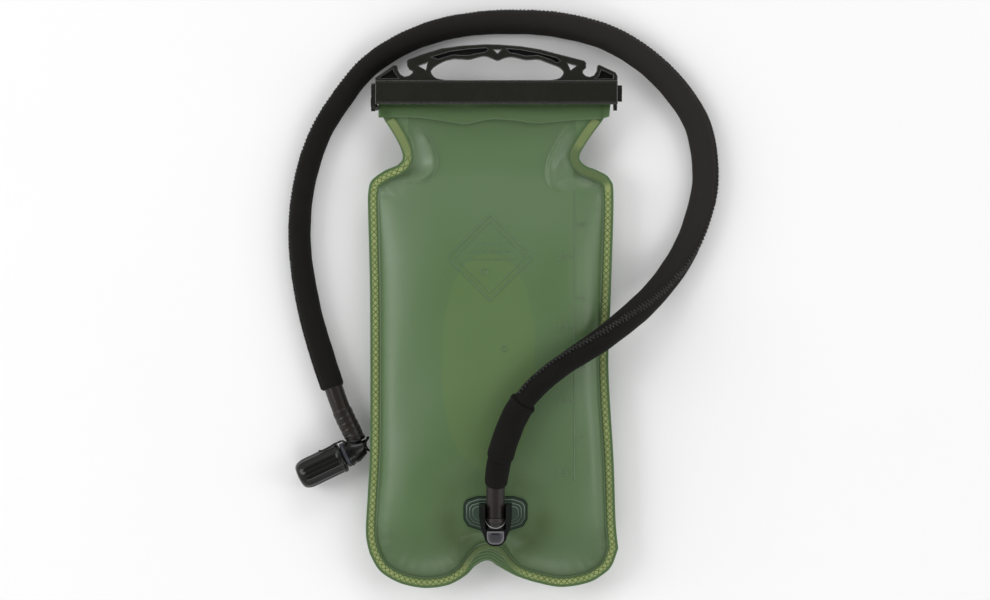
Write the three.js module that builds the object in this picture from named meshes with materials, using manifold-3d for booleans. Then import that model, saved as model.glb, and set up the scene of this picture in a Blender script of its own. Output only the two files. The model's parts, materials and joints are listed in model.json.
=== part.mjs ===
// Hydration bladder lying on its back: a welded film bag with a slide closure and carry handle,
// a quick-release outlet, and a sleeved drink hose that ends in a bite valve under a dust cover.
// Millimetres, +Z up, +Y from the bag's base to the handle. The bag rests on Z = 0.
import * as THREE from 'three';
import { mergeVertices } from 'three/addons/utils/BufferGeometryUtils.js';
import Module from 'manifold-3d';

const wasm = await Module();
wasm.setup();

// ---- Driving dimensions ----
const GAP = 0.3;

// Bag film
const FILM = 0.7;
const SEAM_Z = 20;
const MOUTH_SEAM_Z = 23.95;
const FRONT_CROWN = 18;
const BACK_DEPTH = 25;
const MOUTH_Y = 165;
const WELD_SHARE_X = 0.045;
const WELD_SHARE_Y = 0.022;

// Slide closure
const SLIDER = { left: -82.9, right: 89.2, low: 151.9, high: 168.4, back: 18.3, front: 30.7 };
const CHANNEL = { low: 155.6, high: 165.9, back: 20.4, front: 28.6 };
const SLOT = { back: 22.6, front: 26.4 };
const HANDLE_BACK = 19.5;
const HANDLE_FRONT = 29.5;
const HANDLE_POCKET = 3;

// Outlet port
const PORT = new THREE.Vector3(2.5, -141.8, 46);
const PORT_TILT = THREE.MathUtils.degToRad(6);
const PORT_FLOOR = 33.5;
const FLANGE_STEP = 0.9;
const FLANGE_INSET = 2.2;
const FLANGE_BOTTOM = PORT_FLOOR + GAP;
const FLANGE_TOP = FLANGE_BOTTOM + 3 * FLANGE_STEP;
const THROAT = { x: 2.5, y: -151.5, outer: 5.5, inner: 3.4, low: 24 };
const COLLAR_R = 7.2;
const NOZZLE_R = 4;
const BORE_R = 5.1;
const BUTTON_END = -17.6;

// Hose
const SLEEVE_R = 7.75;
const CUFF_R = 8.8;
const TUBE_R = 6.6;
const HOSE_SIDES = 10;
const HOSE_ROUTE = [
  [2.5, -141.8, 46], [2.5, -131, 47.1], [2.6, -120.3, 48.2], [3.8, -109.2, 49], [6.4, -96.5, 49.2],
  [11, -82.4, 48.8], [17.5, -67.6, 48.1], [27.5, -53.5, 47.4], [39, -42.5, 46.6], [51, -33.5, 45.2],
  [64, -25, 43], [77, -16.5, 39.2], [91.5, -5.5, 32.2], [106, 6.5, 22.8], [117.5, 18, 15.2],
  [128, 31, 10.2], [138, 47, 8.2], [147.5, 71, 8], [152.8, 97, 8], [148.5, 134, 8],
  [134.5, 159, 8], [113, 181.5, 8], [84.5, 199.5, 8], [48.5, 209.5, 8], [16.5, 211.8, 8],
  [-10, 210.8, 8], [-37.5, 206, 8], [-66, 195, 8], [-90, 178.5, 8], [-108.3, 156, 8],
  [-122, 134, 8], [-131, 110.5, 8], [-136.5, 84, 8], [-138, 58.5, 8], [-135.8, 32.5, 8],
  [-130, 2, 8], [-121.3, -28.5, 8.2], [-114.6, -48.2, 9.6], [-107.9, -66.6, 11.1], [-97.95, -87.3, 11.2],
];
const TUBE_SHOWN_LOW = 24;
const CUFF_START = 43;
const CUFF_END = 86;
const TUBE_SHOWN_HIGH = 40;

// Bite valve: local +X points from the mouthpiece to the knob, local +Y points along the tube
const ELBOW = new THREE.Vector3(-94.7, -94.1, 11.2);
const ELBOW_TURN = THREE.MathUtils.degToRad(25.6);
const ELBOW_R = 7.6;
const SHOULDER_R = 8.6;
const KNOB_HUB_R = 4.3;
const TUBE_SEAT = 7.3;
const NECK_LOW = 5;
const COVER_R = 11;
const COVER_WALL = 1.2;

// ---- Materials ----
const paint = (color, roughness, metalness = 0) =>
  new THREE.MeshStandardMaterial({ color, roughness, metalness });
const green = paint(0x5d7c52, 0.35);
const deepGreen = paint(0x2f4034, 0.4);
const black = paint(0x24231f, 0.45);
const neoprene = paint(0x1f1e1d, 0.9);
const smoke = paint(0x3a3536, 0.3);
const lavender = paint(0x8a8792, 0.4);
const steel = paint(0xb4b6b8, 0.3, 1);
const silicone = paint(0x51545a, 0.5);

// ---- Solid helpers ----
function solid(geometry) {
  const bare = geometry.index ? geometry.clone() : geometry;
  bare.deleteAttribute('normal');
  bare.deleteAttribute('uv');
  const merged = mergeVertices(bare, 1e-4);
  const mesh = new wasm.Mesh({
    numProp: 3,
    vertProperties: new Float32Array(merged.attributes.position.array),
    triVerts: new Uint32Array(merged.index.array),
  });
  return new wasm.Manifold(mesh);
}

function geometryOf(manifold) {
  const mesh = manifold.getMesh();
  const geometry = new THREE.BufferGeometry();
  geometry.setAttribute('position', new THREE.BufferAttribute(mesh.vertProperties, 3));
  geometry.setIndex(new THREE.BufferAttribute(mesh.triVerts, 1));
  return geometry;
}

function box(x0, x1, y0, y1, z0, z1) {
  const geometry = new THREE.BoxGeometry(x1 - x0, y1 - y0, z1 - z0);
  return geometry.translate((x0 + x1) / 2, (y0 + y1) / 2, (z0 + z1) / 2);
}

function plate(shape, z0, z1) {
  const geometry = new THREE.ExtrudeGeometry(shape, {
    depth: z1 - z0, bevelEnabled: false, curveSegments: 6,
  });
  return geometry.translate(0, 0, z0);
}

// A turned solid about local Y; the profile lists [radius, height] and starts and ends on the axis
// or closes on itself.
function turned(profile, sides = 28) {
  return new THREE.LatheGeometry(profile.map(([r, y]) => new THREE.Vector2(r, y)), sides);
}

const alongX = (geometry) => geometry.rotateZ(-Math.PI / 2);
const ring = (inner, outer, y0, y1) => [[inner, y0], [outer, y0], [outer, y1], [inner, y1], [inner, y0]];
const disc = (radius, y0, y1) => [[0, y0], [radius, y0], [radius, y1], [0, y1]];

function mesh(name, geometry, material) {
  const part = new THREE.Mesh(geometry, material);
  part.name = name;
  return part;
}

const spline = (points) => new THREE.SplineCurve(points.map(([x, y]) => new THREE.Vector2(x, y)));

// A closed outline whose listed points are joined smoothly
function smoothShape(points, steps) {
  const curve = new THREE.CatmullRomCurve3(
    points.map(([x, y]) => new THREE.Vector3(x, y, 0)), true, 'centripetal');
  return new THREE.Shape(curve.getPoints(steps).slice(0, -1).map((p) => new THREE.Vector2(p.x, p.y)));
}

const straightShape = (points) => new THREE.Shape(points.map(([x, y]) => new THREE.Vector2(x, y)));

// ---- Bag ----
// The four sides of the film's outline; left and right run up from the lower corners to the mouth
const BAG_SIDES = {
  left: spline([
    [-87.5, -169], [-90.2, -154], [-88.7, -124], [-87.2, -88], [-87.2, 12], [-88.6, 73], [-88.6, 88],
    [-86.2, 97.5], [-77, 104.5], [-67.5, 108.8], [-63.8, 114], [-66, 122.5], [-71.8, 133],
    [-77.5, 142], [-80.6, 151], [-81, 158], [-81, MOUTH_Y],
  ]),
  right: spline([
    [90.3, -165.5], [88.4, -145], [86.9, -102], [83.3, -36], [85.1, 19], [86.9, 84], [84.4, 98.5],
    [75.4, 104.8], [66.6, 108.4], [62.4, 114], [65.8, 121.8], [72.9, 132.3], [79.6, 141.5],
    [83.5, 151], [84.4, 158], [84.5, MOUTH_Y],
  ]),
  bottom: spline([
    [-87.5, -169], [-81.5, -180], [-73, -186.8], [-62, -191.5], [-47, -193.8], [-31, -191.5],
    [-18.5, -184.5], [-11.5, -177.5], [-2.9, -174], [5, -178.5], [18, -185.3], [33.5, -190.2],
    [50, -193], [68, -190.2], [78.5, -184.8], [85.5, -178], [90.3, -165.5],
  ]),
  top: spline([[-81, MOUTH_Y], [-30, MOUTH_Y], [30, MOUTH_Y], [84.5, MOUTH_Y]]),
};
const HALF_COLUMNS = [0, WELD_SHARE_X, 0.065, 0.1, 0.15, 0.21, 0.28, 0.35, 0.43];
const COLUMNS = [...HALF_COLUMNS, 0.5, ...HALF_COLUMNS.map((s) => 1 - s).reverse()];
const ROWS = [
  0, WELD_SHARE_Y, 0.034, 0.05, 0.07, 0.095, 0.12, 0.145, 0.175, 0.21, 0.25, 0.3, 0.36, 0.42, 0.48,
  0.54, 0.6, 0.65, 0.7, 0.74, 0.77, 0.795, 0.82, 0.845, 0.87, 0.895, 0.92, 0.95, 1,
];

// A point of the bag's plan, blended from its four sides (a Coons patch)
function bagPoint(s, t) {
  const { left, right, bottom, top } = BAG_SIDES;
  const across = left.getPointAt(t).lerp(right.getPointAt(t), s);
  const along = bottom.getPointAt(s).lerp(top.getPointAt(s), t);
  const low = bottom.getPointAt(0).lerp(bottom.getPointAt(1), s);
  const high = top.getPointAt(0).lerp(top.getPointAt(1), s);
  return across.add(along).sub(low.lerp(high, t));
}

const dome = (w) => (w >= 1 ? 0 : Math.pow(1 - Math.pow(w, 2.5), 0.6));

// How full the bag is at a point, from 0 in the weld to 1 in the middle
function fullness(s, t, y) {
  const sideways = dome(Math.abs(2 * s - 1) / (1 - 2 * WELD_SHARE_X));
  const riseEnd = 0.24;
  const endways = t < riseEnd ? dome((riseEnd - t) / (riseEnd - WELD_SHARE_Y)) : 1;
  const neck = 1 - THREE.MathUtils.smoothstep(y, 30, 137);
  return sideways * endways * neck;
}

const seamHeight = (y) =>
  SEAM_Z + (MOUTH_SEAM_Z - SEAM_Z) * THREE.MathUtils.smoothstep(y, 100, 145);

// The front film may rise no higher than this around the port, where it is drawn into a dimple
function portCeiling(x, y) {
  const dx = Math.max(Math.abs(x - PORT.x) - 34, 0) / 40;
  const dy = Math.max(Math.abs(y + 142) - 24, 0) / 30;
  const rise = THREE.MathUtils.smoothstep(Math.hypot(dx, dy), 0, 1);
  return PORT_FLOOR + rise * 6;
}

function frontHeight(s, t, { x, y }) {
  const z = seamHeight(y) + GAP / 2 + FILM + FRONT_CROWN * fullness(s, t, y);
  return Math.min(z, portCeiling(x, y));
}

function backHeight(s, t, { y }) {
  const z = seamHeight(y) - GAP / 2 - FILM - BACK_DEPTH * fullness(s, t, y);
  return Math.max(z, 0);
}

// A film of even thickness over the bag's plan; side is 1 for the front and -1 for the back
function filmGeometry(height, side) {
  const across = COLUMNS.length;
  const positions = [];
  const index = [];
  for (const layer of [0, 1]) {
    for (const t of ROWS) {
      for (const s of COLUMNS) {
        const p = bagPoint(s, t);
        positions.push(p.x, p.y, height(s, t, p) - side * layer * FILM);
      }
    }
  }
  const at = (layer, row, column) => (layer * ROWS.length + row) * across + column;
  const quad = (a, b, c, d) => index.push(...(side > 0 ? [a, b, c, a, c, d] : [a, c, b, a, d, c]));
  for (let r = 0; r < ROWS.length - 1; r += 1) {
    for (let c = 0; c < across - 1; c += 1) {
      quad(at(0, r, c), at(0, r, c + 1), at(0, r + 1, c + 1), at(0, r + 1, c));
      quad(at(1, r, c), at(1, r + 1, c), at(1, r + 1, c + 1), at(1, r, c + 1));
    }
  }
  for (let r = 0; r < ROWS.length - 1; r += 1) {
    const last = across - 1;
    quad(at(0, r, 0), at(0, r + 1, 0), at(1, r + 1, 0), at(1, r, 0));
    quad(at(0, r, last), at(1, r, last), at(1, r + 1, last), at(0, r + 1, last));
  }
  for (let c = 0; c < across - 1; c += 1) {
    const last = ROWS.length - 1;
    quad(at(0, 0, c), at(1, 0, c), at(1, 0, c + 1), at(0, 0, c + 1));
    quad(at(0, last, c), at(0, last, c + 1), at(1, last, c + 1), at(1, last, c));
  }
  const geometry = new THREE.BufferGeometry();
  geometry.setAttribute('position', new THREE.Float32BufferAttribute(positions, 3));
  geometry.setIndex(index);
  return geometry;
}

function frontFilm() {
  const hole = new THREE.CylinderGeometry(THROAT.outer + GAP, THROAT.outer + GAP, 30, 24);
  hole.rotateX(Math.PI / 2).translate(THROAT.x, THROAT.y, PORT_FLOOR);
  return geometryOf(solid(filmGeometry(frontHeight, 1)).subtract(solid(hole)));
}

// The mouth's front lip, folded over towards the base, with its wavy hem
function mouthFlap() {
  const hem = spline([
    [-81, 142.3], [-66, 142.4], [-51.5, 141.9], [-37, 140], [-20, 137.5], [-9, 139.5], [1.5, 141],
    [16.5, 140], [30.5, 138], [45, 139], [59.5, 140.4], [76, 141.2], [83.7, 143],
  ]).getPoints(36);
  const shape = new THREE.Shape([
    ...hem,
    new THREE.Vector2(85.6, 150),
    new THREE.Vector2(85.6, MOUTH_Y),
    new THREE.Vector2(-81, MOUTH_Y),
  ]);
  const low = MOUTH_SEAM_Z + 1.5 * GAP + FILM;
  return plate(shape, low, low + FILM);
}

// ---- Slide closure ----
const RAIL = { left: -86.2, low: 156.6, high: 165.2 };

function backRail() {
  const strip = solid(box(RAIL.left, 86, RAIL.low, RAIL.high, 20.8, 22.8));
  const stop = solid(box(RAIL.left, -83.3, 160.4, 166.8, 20.8, 23.8));
  return geometryOf(strip.add(stop));
}

function frontRail() {
  const strip = solid(box(RAIL.left, 92.7, RAIL.low, RAIL.high, 26.1, 28.2));
  const stop = solid(box(RAIL.left, -83.3, 146.8, 159.4, 24.1, 28.2));
  const tab = solid(box(86.5, 92.7, 153.6, 160, 23.2, 26.2));
  const toe = solid(box(86.5, 89.2, 147.3, 153.7, 23.2, 26.1));
  return geometryOf(strip.add(stop).add(tab).add(toe));
}

// Handle outline from the bar's top left corner, over the left hook, the arch and the right hook
const HANDLE_OUTLINE = [
  [-82.9, 166], [-82.9, 170.2], [-70, 179.2], [-68.4, 179.4], [-67.5, 178.4], [-67.1, 175.6],
  [-65.6, 172.8], [-62.4, 171], [-58.8, 171.8], [-56.6, 173.6], [-56.2, 175.2], [-58.8, 176.6],
  [-60.2, 179], [-60.5, 182], [-59.6, 183.4], [-48, 187.6], [-36, 191.2], [-20.7, 193.2],
  [-5, 194.1], [5, 193.9], [20.7, 192.7], [34.3, 190.5], [46, 187.4], [58, 184.4], [65.6, 182.4],
  [66.9, 181], [66.8, 177.6], [64.6, 175.6], [64.6, 173.6], [66.6, 171.6], [69.7, 170.8],
  [72.8, 172], [74.7, 175], [75.1, 178.6], [76.4, 179.5], [87.6, 174.2], [89.2, 171.6], [89.2, 166],
];
const GRIP = [
  [-43.8, 175.4], [-37, 181], [-27.5, 184], [-16.5, 183.6], [-10.7, 185], [-5, 186], [-0.5, 184.6],
  [3.8, 182.9], [8.4, 184.6], [13.8, 185.5], [19.3, 184.4], [24.3, 183.3], [33, 183.7],
  [41, 180.8], [48.4, 177.8], [51.2, 174.4], [49, 170.4], [43, 168.8], [20, 168.6], [-10, 168.6],
  [-34, 168.8], [-41, 170.6],
];
// Recesses between the handle's rims
const ARCH_POCKET_LEFT = [
  [-44, 185.2], [-30, 189.4], [-16, 191.2], [-4, 191.9], [-2.4, 190.6], [-4.8, 188.6], [-11, 187.6],
  [-17, 186.3], [-28, 186.7], [-38.5, 183.6],
];
const ARCH_POCKET_RIGHT = [
  [10, 191.4], [20, 190.6], [33.5, 188.2], [46, 184.9], [49, 182.4], [46.5, 181], [41.5, 183.5],
  [33, 186.4], [24.3, 185.9], [18, 187.4], [12.6, 188.4],
];
const HOOK_POCKET_LEFT = [
  [-80.4, 169.8], [-80.4, 170.6], [-70.4, 177], [-69.8, 175], [-67.6, 171.6], [-66, 169.8],
];
const HOOK_POCKET_RIGHT = [[73, 169.6], [76, 171.6], [77.6, 176.4], [86.6, 172.4], [86.6, 169.6]];
const HANDLE_HOLES = [
  [[0.5, 190.7], [7.3, 190.7], [3.9, 187.4]],
  [[-53, 179], [-45.6, 181.8], [-47, 175.6]],
  [[53.4, 181.2], [60.8, 179], [55.9, 175.4]],
];

function slider() {
  let body = solid(box(SLIDER.left, SLIDER.right, SLIDER.low, SLIDER.high, SLIDER.back, SLIDER.front));
  body = body.add(solid(plate(straightShape(HANDLE_OUTLINE), HANDLE_BACK, HANDLE_FRONT)));
  const through = (shape) => solid(plate(shape, HANDLE_BACK - 1, HANDLE_FRONT + 1));
  body = body.subtract(through(smoothShape(GRIP, 54)));
  for (const hole of HANDLE_HOLES) {
    body = body.subtract(through(straightShape(hole)));
  }
  for (const pocket of [ARCH_POCKET_LEFT, ARCH_POCKET_RIGHT, HOOK_POCKET_LEFT, HOOK_POCKET_RIGHT]) {
    const shape = straightShape(pocket);
    body = body.subtract(solid(plate(shape, HANDLE_FRONT - HANDLE_POCKET, HANDLE_FRONT + 1)));
    body = body.subtract(solid(plate(shape, HANDLE_BACK - 1, HANDLE_BACK + HANDLE_POCKET)));
  }
  const ends = [SLIDER.left - 1, SLIDER.right + 1];
  body = body.subtract(solid(box(...ends, CHANNEL.low, CHANNEL.high, CHANNEL.back, CHANNEL.front)));
  return body.subtract(solid(box(...ends, SLIDER.low - 1, CHANNEL.low + 1, SLOT.back, SLOT.front)));
}

// ---- Outlet port ----
// A long octagon with softened corners, drawn in by inset
function flangeShape(inset) {
  const halfX = 22.8 - inset;
  const low = -152.2 + inset;
  const high = -127.6 - inset;
  const cornerX = 9.5;
  const cornerY = 6.5;
  return straightShape([
    [-halfX, low + cornerY + 2], [-halfX + 3, low + 3.5], [-halfX + cornerX + 4, low],
    [halfX - cornerX - 4, low], [halfX - 3, low + 3.5], [halfX, low + cornerY + 2],
    [halfX, high - cornerY + 1], [halfX - 2.2, high - 2.4], [halfX - cornerX, high],
    [-halfX + cornerX, high], [-halfX + 2.2, high - 2.4], [-halfX, high - cornerY + 1],
  ].map(([x, y]) => [x + PORT.x, y]));
}

function upright(radius, z0, z1, sides = 24) {
  const geometry = new THREE.CylinderGeometry(radius, radius, z1 - z0, sides);
  return geometry.rotateX(Math.PI / 2).translate(THROAT.x, THROAT.y, (z0 + z1) / 2);
}

// The flange is welded on the film, and its throat opens into the bag
function portFlange() {
  let body = solid(upright(THROAT.outer, THROAT.low, FLANGE_TOP - 0.2));
  for (const step of [0, 1, 2]) {
    const bottom = FLANGE_BOTTOM + step * FLANGE_STEP;
    body = body.add(solid(plate(flangeShape(step * FLANGE_INSET), bottom - 0.01, bottom + FLANGE_STEP)));
  }
  return geometryOf(body.subtract(solid(upright(THROAT.inner, THROAT.low - 1, FLANGE_TOP + 1))));
}

const HOUSING = { mouth: 9, end: -19.4, top: 7.2, recess: 6, boreEnd: -18.2 };

function housingShape() {
  const shape = new THREE.Shape();
  shape.moveTo(-11.6, HOUSING.mouth);
  shape.lineTo(-11.6, 2);
  shape.quadraticCurveTo(-11, -7, -8.2, -12);
  shape.quadraticCurveTo(-7, HOUSING.end + 1, -2, HOUSING.end);
  shape.lineTo(2, HOUSING.end);
  shape.quadraticCurveTo(7, HOUSING.end + 1, 8.2, -12);
  shape.quadraticCurveTo(11, -7, 11.6, 2);
  shape.lineTo(11.6, HOUSING.mouth);
  return shape;
}

// The cradle that holds the plug's collar, with the bore for its nozzle and the valve behind it
function portHousing() {
  let body = solid(plate(housingShape(), -14, HOUSING.top));
  const below = box(-40, 40, -60, 60, -60, FLANGE_TOP + GAP - PORT.z).rotateX(-PORT_TILT);
  body = body.subtract(solid(below));
  body = body.subtract(solid(turned(disc(COLLAR_R + 0.4, -7.9, HOUSING.mouth + 5), 32)));
  body = body.subtract(solid(box(-COLLAR_R - 0.1, COLLAR_R + 0.1, -7.6, HOUSING.mouth + 5, 1, 20)));
  body = body.subtract(solid(turned(disc(BORE_R, HOUSING.boreEnd, -7.5), 28)));
  body = body.subtract(solid(box(-6.6, 6.6, BUTTON_END - GAP, -7.5, HOUSING.recess, 20)));
  const way = new THREE.CylinderGeometry(2.6, 2.6, 16, 16).rotateX(Math.PI / 2).translate(0, -12, -6);
  return geometryOf(body.subtract(solid(way)));
}

function plug() {
  return turned([
    [2.6, -12.8], [3.5, -12.8], [NOZZLE_R, -12.2], [NOZZLE_R, -11.2], [3.2, -11.2], [3.2, -9.6],
    [NOZZLE_R, -9.6], [NOZZLE_R, -7.6], [COLLAR_R, -7.6], [COLLAR_R, -5], [COLLAR_R - 0.7, -4.7],
    [COLLAR_R - 0.7, -3.6], [COLLAR_R, -3.3], [COLLAR_R, -0.4], [COLLAR_R - 0.4, 0], [2.6, 0],
    [2.6, -12.8],
  ], 32);
}

function torus(radius, tube, y) {
  return new THREE.TorusGeometry(radius, tube, 8, 28).rotateX(Math.PI / 2).translate(0, y, 0);
}

const poppet = () => turned([
  [0, -17.6], [1, -17.6], [1, -15.2], [4.3, -15.2], [4.3, -14], [3, -13.2], [0, -13.2],
]);

// A closed coil spring about local Y
function coilSpring(radius, wire, y0, y1, turns) {
  const points = [];
  const steps = turns * 10;
  for (let i = 0; i <= steps; i += 1) {
    const angle = (i / steps) * turns * 2 * Math.PI;
    const y = y0 + ((y1 - y0) * i) / steps;
    points.push(new THREE.Vector3(radius * Math.cos(angle), y, radius * Math.sin(angle)));
  }
  return tube(new THREE.CatmullRomCurve3(points), wire, steps, 6);
}

function button() {
  const shape = new THREE.Shape();
  shape.moveTo(-6.1, -8.2);
  shape.lineTo(-6.1, BUTTON_END + 3.5);
  shape.quadraticCurveTo(-5.8, BUTTON_END, -2.4, BUTTON_END);
  shape.lineTo(2.4, BUTTON_END);
  shape.quadraticCurveTo(5.8, BUTTON_END, 6.1, BUTTON_END + 3.5);
  shape.lineTo(6.1, -8.2);
  const cap = solid(plate(shape, 7.9, 10.4));
  const dish = new THREE.SphereGeometry(14, 32, 24).translate(0, -13.4, 23.6);
  return geometryOf(cap.subtract(solid(dish)));
}

// A bowed leaf that lifts the button
function buttonLeaf() {
  const shape = new THREE.Shape();
  shape.moveTo(-5, 6.2);
  shape.quadraticCurveTo(0, 8.6, 5, 6.2);
  shape.lineTo(5, 6.6);
  shape.quadraticCurveTo(0, 9, -5, 6.6);
  const leaf = new THREE.ExtrudeGeometry(shape, { depth: 5, bevelEnabled: false, curveSegments: 10 });
  return leaf.rotateX(Math.PI / 2).translate(0, -10.5, 0);
}

// ---- Hose ----
function circle(radius, sides) {
  const points = [];
  for (let i = 0; i < sides; i += 1) {
    const angle = (i / sides) * 2 * Math.PI;
    points.push(new THREE.Vector2(radius * Math.cos(angle), radius * Math.sin(angle)));
  }
  return new THREE.Shape(points);
}

function tube(path, radius, steps, sides) {
  return new THREE.ExtrudeGeometry(circle(radius, sides), { steps, extrudePath: path, bevelEnabled: false });
}

const route = new THREE.CatmullRomCurve3(
  HOSE_ROUTE.map(([x, y, z]) => new THREE.Vector3(x, y, z)), false, 'centripetal');
route.arcLengthDivisions = 2000;
const HOSE_LENGTH = route.getLength();
const SLEEVE_END = HOSE_LENGTH - TUBE_SHOWN_HIGH;

// The stretch of the hose's route between two distances along it
class Stretch extends THREE.Curve {
  constructor(from, to) {
    super();
    this.from = from;
    this.to = to;
  }

  getPoint(t) {
    return route.getPointAt((this.from + (this.to - this.from) * t) / HOSE_LENGTH);
  }

  getTangent(t) {
    return route.getTangentAt((this.from + (this.to - this.from) * t) / HOSE_LENGTH);
  }
}

const hosePiece = (from, to, radius, steps) => tube(new Stretch(from, to), radius, steps, HOSE_SIDES);

// ---- Bite valve ----
// Profiles are [radius, x] along local X. The elbow is a flange, a barrel, a shoulder cut flat for the
// tube's seat, and a cone that closes behind the knob's core.
function elbow() {
  const barrel = solid(alongX(turned([
    [0, -9.6], [9.4, -9.6], [9.4, -8.3], [ELBOW_R, -8.3], [ELBOW_R, -6.2], [SHOULDER_R, -6.2],
    [SHOULDER_R, -3.5], [5.4, 3.4], [0, 3.4],
  ])));
  const tubeSeat = solid(box(-6.7, 10, TUBE_SEAT, 12, -12, 12));
  let body = barrel.subtract(tubeSeat).add(solid(turned(disc(TUBE_R, NECK_LOW, TUBE_SEAT))));
  body = body.subtract(solid(alongX(turned(disc(4.2, -12, 8)))));
  return geometryOf(body.subtract(solid(turned(disc(3.2, 0, 9), 20))));
}

// The turning core with its hub and two thumb wings behind the elbow
function shutoffKnob() {
  const core = solid(alongX(turned(disc(3.9, -5, 4.5))));
  const hub = solid(alongX(turned(disc(KNOB_HUB_R, 3.7, 5))));
  const wings = straightShape([
    [4.2, -4.4], [5.2, -5.2], [6, -4.6], [5.3, -2.4], [5.2, -0.4], [6, 1.4], [7.6, 2.6], [9.2, 3.6],
    [9.4, 4.8], [8.4, 5.3], [7.2, 5], [7, 4.1], [4.2, 4.1],
  ]);
  return geometryOf(core.add(hub).add(solid(plate(wings, -2.2, 2.2))));
}

const biteValve = () => alongX(turned([
  [1.2, -41.5], [5.5, -41], [7.8, -37], [7.6, -27], [6, -24], [6.4, -13.2], [9, -12.4], [9, -9.9],
  [1.2, -9.9], [1.2, -41.5],
]));

function dustCover() {
  const inner = COVER_R - COVER_WALL;
  return alongX(turned([
    [0, -48.8], [COVER_R - 4.2, -48.2], [COVER_R - 1.6, -46], [COVER_R - 0.2, -42], [COVER_R, -16.4],
    [COVER_R + 0.4, -16], [COVER_R + 0.4, -13.6], [inner, -13.6], [inner, -41], [inner - 1, -44.6],
    [inner - 4, -46.8], [0, -47.4],
  ], 32));
}

// A strap from the elbow's ring over the cover's side, with a hook tab at its end
function tether() {
  const strap = solid(box(-27, -6.9, COVER_R + 0.8, COVER_R + 2, -2, 2));
  const tab = solid(box(-27.6, -26, COVER_R + 0.8, COVER_R + 3.4, -2.4, 2.4));
  const drop = solid(box(-8, -6.9, 9.6, COVER_R + 1.2, -2, 2));
  return geometryOf(strap.add(tab).add(drop));
}

const tetherRing = () => alongX(turned(ring(ELBOW_R + 0.3, 8.9, -8, -6.9), 24));

// ---- Assembly ----
const bladder = new THREE.Group();

bladder.add(
  mesh('back_film', filmGeometry(backHeight, -1), green),
  mesh('front_film', frontFilm(), green),
  mesh('mouth_flap', mouthFlap(), green),
  mesh('back_rail', backRail(), black),
  mesh('front_rail', frontRail(), black),
  mesh('slider_handle', geometryOf(slider()), black),
  mesh('port_flange', portFlange(), deepGreen),
);

const port = new THREE.Group();
port.position.copy(PORT);
port.rotation.x = PORT_TILT;
port.add(
  mesh('port_housing', portHousing(), black),
  mesh('hose_plug', plug(), smoke),
  mesh('plug_oring', torus(4, 0.7, -10.4), neoprene),
  mesh('valve_poppet', poppet(), lavender),
  mesh('poppet_spring', coilSpring(2.4, 0.3, -17.9, -15.7, 3), steel),
  mesh('release_button', button(), lavender),
  mesh('button_spring', buttonLeaf(), steel),
);
bladder.add(port);

bladder.add(
  mesh('tube_bag_end', hosePiece(GAP, TUBE_SHOWN_LOW, TUBE_R, 2), smoke),
  mesh('sleeve_tail', hosePiece(TUBE_SHOWN_LOW + GAP, CUFF_START, SLEEVE_R, 3), neoprene),
  mesh('sleeve_cuff', hosePiece(CUFF_START + GAP, CUFF_END, CUFF_R, 4), neoprene),
  mesh('hose_sleeve', hosePiece(CUFF_END + GAP, SLEEVE_END, SLEEVE_R, 56), neoprene),
  mesh('tube_valve_end', hosePiece(SLEEVE_END + GAP, HOSE_LENGTH - GAP, TUBE_R, 3), smoke),
);

const valve = new THREE.Group();
valve.position.copy(ELBOW);
valve.rotation.z = ELBOW_TURN;
valve.add(
  mesh('valve_elbow', elbow(), black),
  mesh('shutoff_knob', shutoffKnob(), black),
  mesh('tether_ring', tetherRing(), black),
  mesh('cover_tether', tether(), black),
  mesh('bite_valve', biteValve(), silicone),
  mesh('dust_cover', dustCover(), smoke),
);
bladder.add(valve);

export default bladder;
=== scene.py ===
"""Hydration bladder: the visible surface for Blender 4.5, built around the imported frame.

Shapes are worked out in millimetres and scaled when a piece is made. +Z is up, and +Y points from the
bag's base to its carry handle.
"""
import json
import math

import bmesh
import bpy
import numpy as np
from mathutils import Matrix, Vector
from mathutils.bvhtree import BVHTree

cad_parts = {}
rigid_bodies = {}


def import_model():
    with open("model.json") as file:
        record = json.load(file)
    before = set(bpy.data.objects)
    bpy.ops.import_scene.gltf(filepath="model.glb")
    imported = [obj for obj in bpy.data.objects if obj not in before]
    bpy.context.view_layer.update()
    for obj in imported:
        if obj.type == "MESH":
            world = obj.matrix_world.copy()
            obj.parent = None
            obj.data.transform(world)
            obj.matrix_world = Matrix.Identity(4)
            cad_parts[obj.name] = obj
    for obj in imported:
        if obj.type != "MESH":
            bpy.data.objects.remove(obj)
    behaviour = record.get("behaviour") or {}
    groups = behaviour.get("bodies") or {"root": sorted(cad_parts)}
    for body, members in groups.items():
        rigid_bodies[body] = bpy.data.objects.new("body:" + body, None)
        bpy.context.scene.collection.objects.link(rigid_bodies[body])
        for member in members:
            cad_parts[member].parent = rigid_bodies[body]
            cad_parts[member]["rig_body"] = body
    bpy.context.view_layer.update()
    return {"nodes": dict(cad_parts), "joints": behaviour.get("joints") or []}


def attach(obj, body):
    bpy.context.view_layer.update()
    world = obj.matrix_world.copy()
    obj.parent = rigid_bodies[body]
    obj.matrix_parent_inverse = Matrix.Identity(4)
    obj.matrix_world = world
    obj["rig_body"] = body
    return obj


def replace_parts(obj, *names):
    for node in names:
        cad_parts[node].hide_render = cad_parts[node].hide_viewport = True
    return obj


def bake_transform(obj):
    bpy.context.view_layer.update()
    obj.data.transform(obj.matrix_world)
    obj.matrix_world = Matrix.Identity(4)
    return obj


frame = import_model()

MM = 0.001
JOINTS = {joint["name"]: joint for joint in frame["joints"]}

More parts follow.
